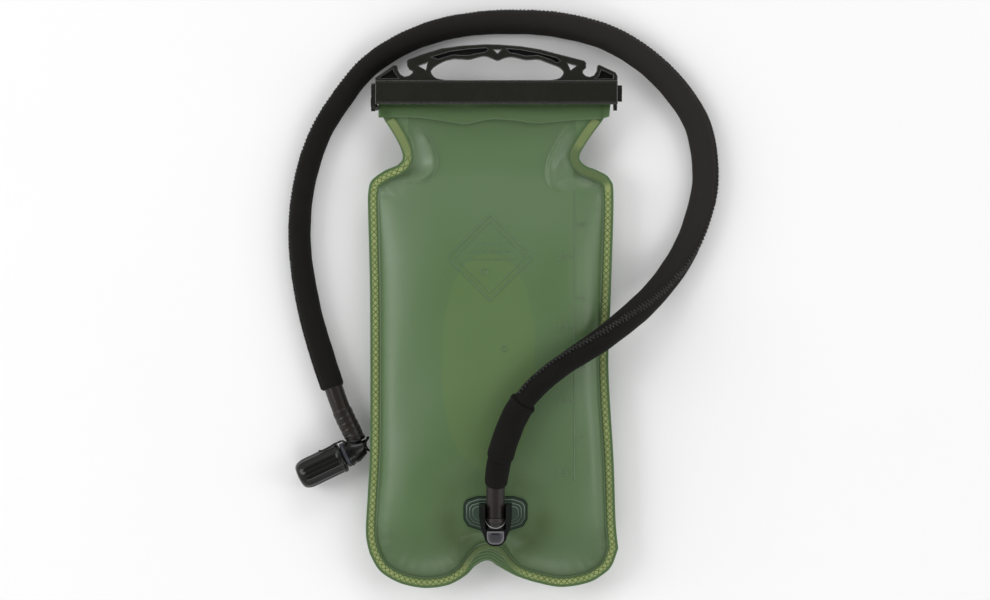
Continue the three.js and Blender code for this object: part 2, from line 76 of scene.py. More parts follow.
# ---- Driving dimensions, in millimetres as the CAD source has them ----
FILM = 0.6
SEAM_Z = 20
MOUTH_SEAM_Z = 23.95
FRONT_CROWN = 18
BACK_DEPTH = 25
MOUTH_Y = 165
WELD_WIDTH = 7.6
STRIP_WIDTH = 4.5
STRIP_INSET = 1.4
HATCH = 4.4
HATCH_LINE = (0.22, 0.62)
PORT_FLOOR = 33.4
PORT_MIDDLE = (2.5, -139.9)
THROAT = (2.5, -151.5)
THROAT_HOLE = 6.3

TUBE_R = 6.6
SLEEVE_R = 7.75
CUFF_R = 9.2
TUBE_SHOWN_LOW = 24
CUFF_START = 43
CUFF_END = 86
TUBE_SHOWN_HIGH = 40
OBLIQUE = 0.42

BAG_LEFT = [
    (-87.5, -169), (-90.2, -154), (-88.7, -124), (-87.2, -88), (-87.2, 12), (-88.6, 73), (-88.6, 88),
    (-86.2, 97.5), (-77, 104.5), (-67.5, 108.8), (-63.8, 114), (-66, 122.5), (-71.8, 133),
    (-77.5, 142), (-80.6, 151), (-81, 158), (-81, MOUTH_Y),
]
BAG_RIGHT = [
    (90.3, -165.5), (88.4, -145), (86.9, -102), (83.3, -36), (85.1, 19), (86.9, 84), (84.4, 98.5),
    (75.4, 104.8), (66.6, 108.4), (62.4, 114), (65.8, 121.8), (72.9, 132.3), (79.6, 141.5),
    (83.5, 151), (84.4, 158), (84.5, MOUTH_Y),
]
BAG_BASE = [
    (-87.5, -169), (-81.5, -180), (-73, -186.8), (-62, -191.5), (-47, -193.8), (-31, -191.5),
    (-18.5, -184.5), (-11.5, -177.5), (-2.9, -174), (5, -178.5), (18, -185.3), (33.5, -190.2),
    (50, -193), (68, -190.2), (78.5, -184.8), (85.5, -178), (90.3, -165.5),
]
FLAP_HEM = [
    (-81, 142.3), (-66, 142.4), (-51.5, 141.9), (-37, 140), (-20, 137.5), (-9, 139.5), (1.5, 141),
    (16.5, 140), (30.5, 138), (45, 139), (59.5, 140.4), (76, 141.2), (83.7, 143),
]

# The hose's route in metres, the same points as the CAD source has
HOSE_ROUTE = [
    (0.0025, -0.1418, 0.046), (0.0025, -0.131, 0.0471), (0.0026, -0.1203, 0.0482),
    (0.0038, -0.1092, 0.049), (0.0064, -0.0965, 0.0492), (0.011, -0.0824, 0.0488),
    (0.0175, -0.0676, 0.0481), (0.0275, -0.0535, 0.0474), (0.039, -0.0425, 0.0466),
    (0.051, -0.0335, 0.0452), (0.064, -0.025, 0.043), (0.077, -0.0165, 0.0392),
    (0.0915, -0.0055, 0.0322), (0.106, 0.0065, 0.0228), (0.1175, 0.018, 0.0152),
    (0.128, 0.031, 0.0102), (0.138, 0.047, 0.0082), (0.1475, 0.071, 0.008),
    (0.1528, 0.097, 0.008), (0.1485, 0.134, 0.008), (0.1345, 0.159, 0.008),
    (0.113, 0.1815, 0.008), (0.0845, 0.1995, 0.008), (0.0485, 0.2095, 0.008),
    (0.0165, 0.2118, 0.008), (-0.01, 0.2108, 0.008), (-0.0375, 0.206, 0.008),
    (-0.066, 0.195, 0.008), (-0.09, 0.1785, 0.008), (-0.1083, 0.156, 0.008),
    (-0.122, 0.134, 0.008), (-0.131, 0.1105, 0.008), (-0.1365, 0.084, 0.008),
    (-0.138, 0.0585, 0.008), (-0.1358, 0.0325, 0.008), (-0.13, 0.002, 0.008),
    (-0.1213, -0.0285, 0.0082), (-0.1146, -0.0482, 0.0096), (-0.1079, -0.0666, 0.0111),
    (-0.09795, -0.0873, 0.0112),
]


# ---- Camera, floor and light ----
def placed(name, data):
    """A new object of the data, in the scene."""
    made = bpy.data.objects.new(name, data)
    bpy.context.scene.collection.objects.link(made)
    return made


def make_camera():
    """Straight down on the object, with the image's up along +Y."""
    lens, sensor = 131, 36
    view_width, seam_plane = 0.70785, 0.02
    data = bpy.data.cameras.new("camera")
    data.lens = lens
    data.sensor_width = sensor
    data.clip_end = 20
    camera = placed("camera", data)
    camera.location = (0.00215, 0.01216, seam_plane + view_width * lens / sensor)
    bpy.context.scene.camera = camera


def area_light(name, location, size, power):
    data = bpy.data.lights.new(name, "AREA")
    data.shape = "RECTANGLE"
    data.size, data.size_y = size
    data.energy = power
    light = placed(name, data)
    light.location = location
    light.rotation_euler = (-Vector(location)).to_track_quat("-Z", "Y").to_euler()


def make_studio():
    scene = bpy.context.scene
    scene.view_settings.view_transform = "Standard"
    scene.view_settings.look = "None"
    world = bpy.data.worlds.new("studio")
    world.use_nodes = True
    tree = world.node_tree
    sky = tree.nodes.new("ShaderNodeTexCoord")
    height = tree.nodes.new("ShaderNodeSeparateXYZ")
    shade = tree.nodes.new("ShaderNodeMapRange")
    shade.interpolation_type = "SMOOTHSTEP"
    for socket, value in (("From Min", 0.6), ("From Max", 0.97), ("To Min", 0.88), ("To Max", 0.24)):
        shade.inputs[socket].default_value = value
    tree.links.new(sky.outputs["Generated"], height.inputs[0])
    tree.links.new(height.outputs["Z"], shade.inputs["Value"])
    background = tree.nodes["Background"]
    background.inputs["Color"].default_value = (1, 1, 1, 1)
    tree.links.new(shade.outputs["Result"], background.inputs["Strength"])
    scene.world = world
    area_light("left_softbox", (-2.6, 0.4, 1.7), (1.4, 2.2), 37)
    area_light("right_softbox", (2.7, 0.0, 1.9), (1.2, 2.0), 19)
    area_light("top_softbox", (0.5, 2.8, 1.9), (2.4, 0.9), 22)
    area_light("front_softbox", (0.2, -2.8, 2.1), (2.4, 0.9), 22)
    mesh = bpy.data.meshes.new("floor")
    half, depth = 3.0, -0.0004
    corners = [(-half, -half, depth), (half, -half, depth), (half, half, depth), (-half, half, depth)]
    mesh.from_pydata(corners, [], [(0, 1, 2, 3)])
    paper = Paint("floor_paper", Roughness=0.9)
    paper.colour((0.86, 0.86, 0.86), (0.88, 0.88, 0.88), paper.noise(6, 3))
    mesh.materials.append(paper.material)
    placed("floor", mesh)


# ---- Materials ----
class Paint:
    """A material, its shader, and short calls for the nodes that feed it."""

    def __init__(self, name, **sockets):
        self.material = bpy.data.materials.new(name)
        self.material.use_nodes = True
        self.tree = self.material.node_tree
        self.shader = self.tree.nodes["Principled BSDF"]
        for socket, value in sockets.items():
            self.shader.inputs[socket.replace("_", " ")].default_value = value

    def node(self, kind, **settings):
        made = self.tree.nodes.new(kind)
        for key, value in settings.items():
            setattr(made, key, value)
        return made

    def feed(self, socket, source):
        """Links source to an input socket, or sets it if source is a plain value."""
        if isinstance(source, bpy.types.NodeSocket):
            self.tree.links.new(source, socket)
        else:
            socket.default_value = source

    def surface(self):
        """The two distances that a piece's UV holds, in millimetres."""
        split = self.node("ShaderNodeSeparateXYZ")
        self.feed(split.inputs[0], self.node("ShaderNodeUVMap", uv_map="UVMap").outputs["UV"])
        return split.outputs[0], split.outputs[1]

    def mask(self, name):
        return self.node("ShaderNodeAttribute", attribute_name=name).outputs["Fac"]

    def noise(self, scale, detail):
        made = self.node("ShaderNodeTexNoise")
        made.inputs["Scale"].default_value = scale
        made.inputs["Detail"].default_value = detail
        self.feed(made.inputs["Vector"], self.node("ShaderNodeTexCoord").outputs["Object"])
        return made.outputs["Fac"]

    def math(self, operation, a, b=0.0):
        made = self.node("ShaderNodeMath", operation=operation)
        self.feed(made.inputs[0], a)
        self.feed(made.inputs[1], b)
        return made.outputs[0]

    def spread(self, factor, low, high, to_low=0.0, to_high=1.0):
        made = self.node("ShaderNodeMapRange", interpolation_type="SMOOTHSTEP")
        self.feed(made.inputs["Value"], factor)
        sockets = ("From Min", "From Max", "To Min", "To Max")
        for socket, value in zip(sockets, (low, high, to_low, to_high)):
            made.inputs[socket].default_value = value
        return made.outputs["Result"]

    def mix(self, factor, low, high):
        made = self.node("ShaderNodeMix", data_type="RGBA")
        self.feed(made.inputs["Factor"], factor)
        for socket, value in ((made.inputs["A"], low), (made.inputs["B"], high)):
            self.feed(socket, (*value, 1) if isinstance(value, tuple) else value)
        return made.outputs["Result"]

    def colour(self, low, high, factor):
        """Base colour between two tones; either may be another mix."""
        self.feed(self.shader.inputs["Base Color"], self.mix(factor, low, high))

    def rough(self, low, high, factor):
        self.feed(self.shader.inputs["Roughness"], self.spread(factor, 0.3, 0.7, low, high))

    def relief(self, height, depth, strength, under=None):
        """A bump of a depth in millimetres, over another one if under is given."""
        made = self.node("ShaderNodeBump")
        made.inputs["Strength"].default_value = strength
        made.inputs["Distance"].default_value = depth * MM
        self.feed(made.inputs["Height"], height)
        if under:
            self.feed(made.inputs["Normal"], under)
        self.feed(self.shader.inputs["Normal"], made.outputs["Normal"])
        return made.outputs["Normal"]


def film_paint():
    """Satin green welded film. Its masks mark the oval where the films touch, painted lighter for the
    floor's light seen through the film; the painted light on slopes and folds; the painted olive shade round
    the port; the weld; and the painted shade in creases, beside the weld and under the lip."""
    paint = Paint("film", Roughness=0.38, Coat_Weight=0.2, Coat_Roughness=0.28, Subsurface_Weight=0.12,
                  Subsurface_Scale=0.004, Subsurface_Radius=(0.5, 1.0, 0.4), Specular_IOR_Level=0.42)
    broad = paint.spread(paint.noise(9, 2), 0.35, 0.65)
    body = paint.mix(broad, (0.080, 0.146, 0.054), (0.089, 0.154, 0.066))
    # Painted light: lighter yellow-green inside the oval where the back film lies on the floor, for the
    # floor seen through the film.
    zone = paint.mix(paint.mask("contact"), body, (0.096, 0.163, 0.054))
    # Painted light: paler grey-green where slopes, folds, the lip's hem and the raised marks catch the
    # light.
    lit = paint.mix(paint.mask("painted_light"), zone, (0.135, 0.190, 0.120))
    # Painted shade: darker olive round the port.
    ringed = paint.mix(paint.mask("painted_port_shade"), lit, (0.058, 0.088, 0.024))
    weld = paint.mix(paint.mask("weld"), ringed, (0.064, 0.120, 0.040))
    # Painted shade: dark green in creases, beside the weld, inside the shoulders, under the lip and towards
    # the base; also dark lines at the lip's ends.
    paint.colour(weld, (0.032, 0.068, 0.018), paint.mask("shade_and_seam"))
    uneven = paint.spread(paint.noise(30, 2), 0, 1, 0.41, 0.51)
    dulled = paint.math("MULTIPLY", paint.mask("painted_port_shade"), 0.45)
    paint.feed(paint.shader.inputs["Roughness"], paint.math("ADD", uneven, dulled))
    grain = paint.relief(paint.noise(900, 2), 0.03, 0.5)
    paint.relief(paint.noise(35, 3), 0.22, 0.3, grain)
    return paint.material


def strip_paint():
    """Olive-yellow weld with dark lines crossing into diamonds; UV is along and across in millimetres."""
    paint = Paint("weld_strip", Roughness=0.42, Coat_Weight=0.2, Coat_Roughness=0.3, Subsurface_Weight=0.1,
                  Subsurface_Scale=0.002)
    along, across = paint.surface()
    lines = []
    for operation in ("ADD", "SUBTRACT"):
        phase = paint.math("PINGPONG", paint.math(operation, along, across), HATCH / 2)
        lines.append(paint.spread(phase, *HATCH_LINE, 1, 0))
    crossed = paint.math("MAXIMUM", lines[0], lines[1])
    hatch = paint.math("MULTIPLY", crossed, paint.mask("hatch"))
    fill = paint.mix(paint.noise(60, 3), (0.205, 0.255, 0.085), (0.320, 0.375, 0.150))
    edge = paint.math("ABSOLUTE", paint.math("SUBTRACT", across, STRIP_WIDTH / 2))
    outer = paint.spread(edge, STRIP_WIDTH * 0.3, STRIP_WIDTH * 0.5)
    shaded = paint.mix(outer, fill, (0.12, 0.175, 0.04))
    # A plain, darker weld tone where the plain mask is set: beside the mouth, near the top and under the
    # port's arch.
    toned = paint.mix(paint.mask("plain"), shaded, (0.085, 0.130, 0.044))
    paint.colour(toned, (0.075, 0.125, 0.022), hatch)
    paint.relief(hatch, -0.3, 0.8)
    return paint.material


def plastic_paint(name, low, high, roughness, grain=0.03, **sockets):
    """Moulded plastic with a fine spark-eroded grain and slight unevenness of tone."""
    paint = Paint(name, Roughness=roughness, Specular_IOR_Level=0.2, **sockets)
    paint.colour(low, high, paint.noise(45, 4))
    paint.rough(roughness - 0.06, roughness + 0.08, paint.noise(120, 3))
    paint.relief(paint.noise(1400, 2), grain, 0.6)
    return paint.material


def neoprene_paint():
    """Black stretch knit over foam: fine wales along the hose, courses round it, a soft sheen, and a paler
    stretch on the hose's first half."""
    wale_step, course_step = 0.9, 0.75
    paint = Paint("neoprene_knit", Roughness=0.85, Sheen_Weight=0.03, Sheen_Roughness=0.4,
                  Specular_IOR_Level=0.08)
    across, along = paint.surface()
    wale = paint.math("SINE", paint.math("MULTIPLY", across, 2 * math.pi / wale_step))
    slant = paint.math("ADD", along, paint.math("MULTIPLY", wale, 0.18))
    course = paint.math("SINE", paint.math("MULTIPLY", slant, 2 * math.pi / course_step))
    knit = paint.math("ADD", paint.math("MULTIPLY", wale, 0.5), paint.math("MULTIPLY", course, 0.5))
    dyed = paint.mix(paint.noise(60, 4), (0.0040, 0.0039, 0.0035), (0.0090, 0.0084, 0.0076))
    # Paler along the hose from about 120 mm to 680 mm from its bag end.
    paler_span = paint.math("MULTIPLY", paint.spread(along, 120, 300), paint.spread(along, 360, 680, 1, 0.1))
    tone = paint.mix(paler_span, dyed, (0.0225, 0.0200, 0.0182))
    paint.colour(tone, (0.022, 0.021, 0.019), paint.spread(knit, 0.2, 1.0, 0, 0.4))
    knitted = paint.relief(knit, 0.09, 0.8)
    paint.relief(paint.noise(90, 3), 0.35, 0.4, knitted)
    return paint.material


def thread_paint():
    """Black overlock thread: its colour has speckles of painted glint, and its gloss varies at random."""
    paint = Paint("seam_thread", Sheen_Weight=0.08, Specular_IOR_Level=0.5)
    painted_glints = paint.spread(paint.noise(330, 2), 0.56, 0.76)
    paint.colour((0.0025, 0.0025, 0.0025), (0.030, 0.029, 0.028), painted_glints)
    paint.rough(0.3, 0.75, paint.noise(240, 2))
    paint.relief(paint.noise(1500, 2), 0.15, 0.9)
    return paint.material


def smoke_paint(name, low, high, roughness=0.24):
    """Dark smoke-tinted plastic with a soft gloss."""
    paint = Paint(name, Coat_Weight=0.25, Coat_Roughness=0.6 * roughness, IOR=1.48, Specular_IOR_Level=0.15)
    paint.colour(low, high, paint.noise(28, 3))
    paint.rough(roughness, roughness + 0.1, paint.noise(60, 3))
    paint.relief(paint.noise(260, 2), 0.05, 0.4)
    return paint.material


def steel_paint():
    paint = Paint("spring_wire", Metallic=1.0, Roughness=0.3)
    paint.colour((0.42, 0.42, 0.44), (0.6, 0.6, 0.62), paint.noise(300, 3))
    paint.relief(paint.noise(1800, 2), 0.02, 0.5)
    return paint.material


# ---- Lines ----
def unit(ways):
    """The directions, each at a length of one."""
    return ways / np.linalg.norm(ways, axis=-1, keepdims=True)


def headings(line):
    return unit(np.gradient(line, axis=0))


def walked(line):
    """The distance gone at each point of a line."""
    return np.concatenate([[0], np.cumsum(np.linalg.norm(np.diff(line, axis=0), axis=1))])


def along_line(at, marks, line):
    """The line's values at distances along it; its own points lie at the marks."""
    return np.stack([np.interp(at, marks, column) for column in np.transpose(line)], -1)


def spline(points, steps=60):
    """A smooth curve through the points, returned as a function from share of its length to points."""
    knots = np.array(points, float)
    last = len(knots) - 1
    w = np.linspace(0, 1, steps, endpoint=False)[:, None]
    runs = []
    for i in range(last):
        p0, p1, p2, p3 = knots[max(i - 1, 0)], knots[i], knots[i + 1], knots[min(i + 2, last)]
        v0, v1 = (p2 - p0) / 2, (p3 - p1) / 2
        cubic, square = 2 * p1 - 2 * p2 + v0 + v1, 3 * p2 - 3 * p1 - 2 * v0 - v1
        runs.append(cubic * w**3 + square * w**2 + v0 * w + p1)
    dense = np.vstack([*runs, knots[-1:]])
    gone = walked(dense)
    return lambda share: along_line(share, gone / gone[-1], dense)


def smoothstep(x, low, high):
    t = np.clip((x - low) / (high - low), 0, 1)
    return t * t * (3 - 2 * t)


def within(x, low, high):
    """One inside the span between low's two values and high's, easing to nothing outside it."""
    return smoothstep(x, *low) * (1 - smoothstep(x, *high))


def bell(x, middle, width, power=2):
    return np.exp(-(np.abs((x - middle) / width) ** power))


# ---- Mesh helpers ----


def grid_faces(rows, columns, wrap=False):
    faces = []
    for r in range(rows - 1):
        low, high = r * columns, (r + 1) * columns
        for c in range(columns if wrap else columns - 1):
            d = (c + 1) % columns
            faces.append((low + c, low + d, high + d, high + c))
    return faces


def tube_faces(rings, sides):
    """The faces of a tube of rings whose two ends are closed."""
    last = (rings - 1) * sides
    ends = [tuple(range(sides))[::-1], tuple(range(last, last + sides))]
    return grid_faces(rings, sides, wrap=True) + ends


def make_piece(name, points, faces, body, material, masks=None, uv=None):
    """A smooth-shaded mesh piece from points in millimetres, riding on a body."""
    mesh = bpy.data.meshes.new(name)
    mesh.from_pydata([tuple(p) for p in np.asarray(points, float) * MM], [], faces)
    mesh.shade_smooth()
    mesh.materials.append(material)
    for mask, values in (masks or {}).items():
        layer = mesh.attributes.new(mask, "FLOAT", "POINT")
        layer.data.foreach_set("value", np.asarray(values, np.float32))
    if uv is not None:
        layer = mesh.uv_layers.new(name="UVMap")
        corners = np.zeros(len(mesh.loops), np.int32)
        mesh.loops.foreach_get("vertex_index", corners)
        layer.data.foreach_set("uv", np.asarray(uv, np.float32)[corners].ravel())
    mesh.update()
    piece = placed(name, mesh)
    if body:
        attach(piece, body)
    return piece


def tidy_normals(piece, gap=1e-7, close=False):
    """Joins the points of a piece that meet, closes its open ends if asked, and turns its faces outwards."""
    work = bmesh.new()
    work.from_mesh(piece.data)
    bmesh.ops.remove_doubles(work, verts=work.verts, dist=gap)
    if close:
        bmesh.ops.holes_fill(work, edges=[edge for edge in work.edges if edge.is_boundary], sides=0)
    bmesh.ops.recalc_face_normals(work, faces=work.faces)
    work.to_mesh(piece.data)
    work.free()
    return piece


def sharpen(piece, degrees=35):
    piece.data.set_sharp_from_angle(angle=math.radians(degrees))
    return piece


def bevelled(piece, width, degrees):
    bevel = piece.modifiers.new("edge_round", "BEVEL")
    bevel.width = width * MM
    bevel.segments = 2
    bevel.limit_method = "ANGLE"
    bevel.angle_limit = math.radians(degrees)
    piece.modifiers.new("face_normals", "WEIGHTED_NORMAL").weight = 50
    return piece


def film_part(name, points, faces, material, masks, uv=None):
    return make_piece(name, points, faces, "bag", material, masks, uv)


def thicken(piece, thickness):
    """Gives a sheet its thickness, inwards from its outer side."""
    shell = piece.modifiers.new("thickness", "SOLIDIFY")
    shell.thickness = thickness * MM
    shell.offset = -1
    return piece


def merged(mesh):
    """The mesh with its coplanar triangles joined into whole faces."""
    work = bmesh.new()
    work.from_mesh(mesh)
    bmesh.ops.remove_doubles(work, verts=work.verts, dist=2e-6)
    bmesh.ops.dissolve_limit(work, angle_limit=math.radians(1.5), verts=work.verts, edges=work.edges)
    return work


def refined(node, material, width=0.4, degrees=35, hollow=None):
    """The CAD node's own shape with rounded edges and a detailed material, in its place. hollow lists
    another material and the heights between which level faces get it."""
    source = frame["nodes"][node]
    mesh = source.data.copy()
    work = merged(mesh)
    work.to_mesh(mesh)
    work.free()
    if "custom_normal" in mesh.attributes:
        mesh.attributes.remove(mesh.attributes["custom_normal"])
    mesh.materials.clear()
    mesh.materials.append(material)
    if hollow:
        other, low, high = hollow
        mesh.materials.append(other)
        for face in mesh.polygons:
            face.material_index = int(abs(face.normal.z) > 0.9 and low < face.center.z / MM < high)
    mesh.shade_smooth()
    piece = placed("fine_" + node, mesh)
    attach(piece, source["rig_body"])
    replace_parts(piece, node)
    return bevelled(piece, width, degrees)


def rim_beads(name, node, low, radius, material, sides=8):
    """Thin beads along the node's level outer edges above a height, as one piece."""
    source = frame["nodes"][node]
    work = merged(source.data)
    points, faces = [], []
    up = np.array((0, 0, 1))
    sharpest, level, overlap, sink = math.radians(40), 0.02, 0.12, 0.6
    for edge in work.edges:
        a, b = (np.array(v.co) / MM for v in edge.verts)
        sharp = edge.is_convex and edge.calc_face_angle(0) > sharpest
        if not sharp or min(a[2], b[2]) < low or abs(a[2] - b[2]) > level:
            continue
        along = unit(b - a)
        across = np.cross(along, up)
        base = len(points)
        for end in (a - overlap * along, b + overlap * along):
            for k in range(sides):
                turn = 2 * math.pi * k / sides
                points.append(end + radius * (math.cos(turn) * across + (math.sin(turn) - sink) * up))
        faces += [tuple(base + k for k in face) for face in tube_faces(2, sides)]
    work.free()
    piece = make_piece(name, points, faces, source["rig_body"], material)
    return sharpen(tidy_normals(piece), 60)


def lathe(name, profile, sides, place, body, material, ripple=None):
    """A turned piece: profile lists (radius, distance along the axis) and closes on itself or on the axis.
    ripple(angle, distance, radius) scales the radius, and place takes (axis, side, up) to the row frame."""
    profile = np.array(profile, float)
    closed = np.allclose(profile[0], profile[-1])
    ring = profile[:-1] if closed else profile
    points = []
    for radius, at in ring:
        for k in range(sides):
            angle = 2 * math.pi * k / sides
            r = radius * (ripple(angle, at, radius) if ripple else 1)
            points.append(place @ Vector((at, r * math.cos(angle), r * math.sin(angle))))
    faces = grid_faces(len(ring), sides, wrap=True)
    if closed:
        base = (len(ring) - 1) * sides
        faces += [(base + k, base + (k + 1) % sides, (k + 1) % sides, k) for k in range(sides)]
    piece = make_piece(name, [tuple(p) for p in points], faces, body, material)
    return sharpen(tidy_normals(piece), 40)


def rod(name, line, radius, sides, body, material, away=(0, 0, 1)):
    """A closed round rod along a line of points; away is roughly square to it. A rod on no body has no
    parent."""
    line = np.asarray(line, float)
    heading = headings(line)
    across = unit(np.cross(heading, np.broadcast_to(away, line.shape)))
    upward = np.cross(across, heading)
    turns = [2 * math.pi * k / sides for k in range(sides)]
    radius = np.broadcast_to(radius, len(line))[:, None]
    rings = [line + radius * (math.cos(turn) * upward + math.sin(turn) * across) for turn in turns]
    points = np.stack(rings, 1).reshape(-1, 3)
    piece = make_piece(name, points, tube_faces(len(line), sides), body, material)
    return sharpen(tidy_normals(piece), 60)


def rounded(corners, passes):
    """A closed outline with its corners cut again and again, at about even steps."""
    outline = np.array(outline_points(corners, 1.6))
    for _ in range(passes):
        ahead = np.roll(outline, -1, 0)
        outline = np.stack([0.75 * outline + 0.25 * ahead, 0.25 * outline + 0.75 * ahead], 1).reshape(-1, 2)
        outline = outline[::2] if len(outline) > 400 else outline
    return outline


def plate(name, outline, rings, place, body, material, marks, toned=(-1e3, -999)):
    """A closed stepped plate: rings lists (inset, height, then one value for each mask in marks). The first
    mask is full above the span of y that toned gives, and faint below it, so that a painted edge highlight
    fades on the plate's lower side."""
    middle = (outline.max(0) + outline.min(0)) / 2
    half = (outline.max(0) - outline.min(0)) / 2
    points, values = [], []
    for inset, height, *shades in rings:
        for x, y in middle + (outline - middle) * (1 - inset / half):
            points.append(tuple(place @ Vector((x, y, height))))
            full = 0.25 + 0.75 * float(smoothstep(y, *toned))
            values.append([shade * full for shade in shades[:1]] + shades[1:])
    faces = tube_faces(len(rings), len(outline))
    masks = {mark: np.array(values)[:, k] for k, mark in enumerate(marks)}
    return sharpen(tidy_normals(make_piece(name, points, faces, body, material, masks)), 40)


# ---- Hose ----
def hose_route(step=1.0):
    """The centripetal curve through the route, in millimetres, at even steps along it."""
    knots = np.array(HOSE_ROUTE) / MM
    ends = np.vstack([2 * knots[0] - knots[1], knots, 2 * knots[-1] - knots[-2]])
    w = np.linspace(0, 1, 40, endpoint=False)[:, None]
    runs = []
    for p0, p1, p2, p3 in zip(ends, ends[1:], ends[2:], ends[3:]):
        d0, d1, d2 = (math.sqrt(np.linalg.norm(b - a)) for a, b in ((p0, p1), (p1, p2), (p2, p3)))
        t1 = ((p1 - p0) / d0 - (p2 - p0) / (d0 + d1) + (p2 - p1) / d1) * d1
        t2 = ((p2 - p1) / d1 - (p3 - p1) / (d1 + d2) + (p3 - p2) / d2) * d1
        square, cubic = 3 * (p2 - p1) - 2 * t1 - t2, 2 * (p1 - p2) + t1 + t2
        runs.append(p1 + t1 * w + square * w**2 + cubic * w**3)
    dense = np.vstack([*runs, knots[-1:]])
    gone = walked(dense)
    at = np.linspace(0, gone[-1], int(gone[-1] / step) + 1)
    return along_line(at, gone, dense), at


ROUTE, ROUTE_AT = hose_route()
HOSE_LENGTH = float(ROUTE_AT[-1])
ROUTE_ALONG = headings(ROUTE)
ROUTE_OUT = unit(np.cross(ROUTE_ALONG, (0, 0, 1)))
ROUTE_UP = np.cross(ROUTE_OUT, ROUTE_ALONG)


def on_route(at):
    """Point and the outward, upward and forward directions at distances along the hose."""
    return [along_line(at, ROUTE_AT, line) for line in (ROUTE, ROUTE_OUT, ROUTE_UP, ROUTE_ALONG)]


def sweep(name, stations, section, sides, material):
    """A closed tube along the hose. stations lists distances along it, and section(at, angles) gives each
    ring's (outward, upward, forward) offsets; the ends are closed."""
    stations = np.asarray(stations, float)
    angles = np.linspace(0, 2 * math.pi, sides + 1)
    middle, out, up, ahead = on_route(stations)
    points, uv = [], []
    for i, at in enumerate(stations):
        offsets = section(at, angles)
        ring = sum(offset[:, None] * way[i] for offset, way in zip(offsets, (out, up, ahead)))
        points.append(middle[i] + ring)
        uv.append(np.stack([angles * SLEEVE_R, np.full(sides + 1, at)], -1))
    faces = grid_faces(len(stations), sides + 1)
    piece = make_piece(name, np.vstack(points), faces, "hose", material, uv=np.vstack(uv))
    return sharpen(tidy_normals(piece, 1e-6, close=True), 50)


SLEEVE_END = HOSE_LENGTH - TUBE_SHOWN_HIGH
SEAM_TURN = spline([(0, 150), (70, 150), (120, 145), (160, 118), (195, 88), (235, 55), (275, 22), (340, 4),
                    (420, -12), (560, -28), (720, -20), (820, -4), (870, 2), (1000, 2)])
SEAM_TURN_AT = SEAM_TURN(np.linspace(0, 1, 400))


def seam_angle(at):
    """The sewn seam's place round the sleeve, in radians from its outer side towards the top."""
    return np.radians(np.interp(at, SEAM_TURN_AT[:, 0], SEAM_TURN_AT[:, 1]))


def sleeve_girth(at):
    """The sleeve's radius sideways: it is stretched loosest on its first half."""
    loose = smoothstep(at, 118, 190) * (1 - smoothstep(at, 430, 640))
    return SLEEVE_R + 1.35 * loose + 0.45 * smoothstep(at, HOSE_LENGTH - 160, HOSE_LENGTH - 60)


def sleeve_section(at, angles):
    ripple = 0.10 * math.sin(at / 7.3) + 0.07 * math.sin(at / 3.1 + 1)
    wide = sleeve_girth(at) + ripple
    tall = SLEEVE_R + ripple
    off = np.angle(np.exp(1j * (angles - seam_angle(at) - 0.05 * math.sin(at / 1.9))))
    crinkle = 1 + 0.35 * math.sin(at / 1.15) + 0.25 * math.sin(at / 2.7 + 1)
    ridge = 0.6 * crinkle * bell(off, 0, 0.2, 4) - 0.35 * bell(np.abs(off), 0.42, 0.1)
    end = min(at - CUFF_END, SLEEVE_END - at)
    tuck = -0.9 * math.exp(-max(end, 0) / 0.8)
    upwards = (tall + ridge + tuck) * np.sin(angles)
    slant = OBLIQUE * (1 - smoothstep(at, CUFF_END, CUFF_END + 30))
    return (wide + ridge + tuck) * np.cos(angles), upwards, -slant * upwards


def make_hose():
    smoke = smoke_paint("smoky_tube", (0.0115, 0.0088, 0.0074), (0.0230, 0.0185, 0.0165), 0.3)
    fitting, barbs = HOSE_LENGTH - 23, (18, 13.5, 9, 4.5)
    coarse, fine = np.linspace(0.3, fitting - 4, 300), np.linspace(fitting - 3.7, HOSE_LENGTH - 0.3, 90)

    def tube_section(at, angles):
        swell = 0.5 * smoothstep(at, fitting, fitting + 0.7)
        swell -= 0.35 * smoothstep(at, HOSE_LENGTH - 3.4, HOSE_LENGTH - 2.6)
        swell -= 0.26 * sum(bell(at, HOSE_LENGTH - barb, 0.6) for barb in barbs)
        return (TUBE_R + swell) * np.cos(angles), (TUBE_R + swell) * np.sin(angles)

    tube_at = np.concatenate([coarse, fine])
    tube = sweep("drink_tube", tube_at, tube_section, 40, smoke)
    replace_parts(tube, "tube_bag_end", "tube_valve_end")
    knit = neoprene_paint()
    sleeve_at = np.concatenate([[CUFF_END - 3.0], np.arange(CUFF_END - 2.5, SLEEVE_END, 1.2), [SLEEVE_END]])
    sleeve = sweep("neoprene_sleeve", sleeve_at, sleeve_section, 56, knit)
    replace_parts(sleeve, "hose_sleeve")

    def cuff_section(at, angles):
        rim = 0.55 * bell(at, CUFF_END - 1.2, 1.1)
        lip = -0.8 * math.exp(-max(min(at - CUFF_START, CUFF_END - at), 0) / 0.5)
        r = CUFF_R + rim + lip + 0.08 * math.sin(at / 2.3)
        upwards = (r - 0.2) * np.sin(angles)
        return (r + 0.3) * np.cos(angles), upwards, -OBLIQUE * upwards

    def tail_section(at, angles):
        slack = 0.35 * smoothstep(at, 26, 40)
        lip = -0.9 * math.exp(-max(at - TUBE_SHOWN_LOW, 0) / 0.7)
        r = SLEEVE_R + lip + slack + 0.1 * math.sin(at / 4.1)
        upwards = (r - 0.05) * np.sin(angles)
        return (r + 0.4) * np.cos(angles), upwards, -OBLIQUE * upwards

    tail_at = np.linspace(TUBE_SHOWN_LOW, CUFF_START + 4, 60)
    tail = sweep("sleeve_hem_end", tail_at, tail_section, 48, knit)
    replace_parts(tail, "sleeve_tail")
    cuff_at = np.linspace(CUFF_START, CUFF_END, 110)
    cuff = sweep("sleeve_band", cuff_at, cuff_section, 48, knit)
    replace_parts(cuff, "sleeve_cuff")
    return tube, [sleeve, tail, cuff, make_seam_thread()]


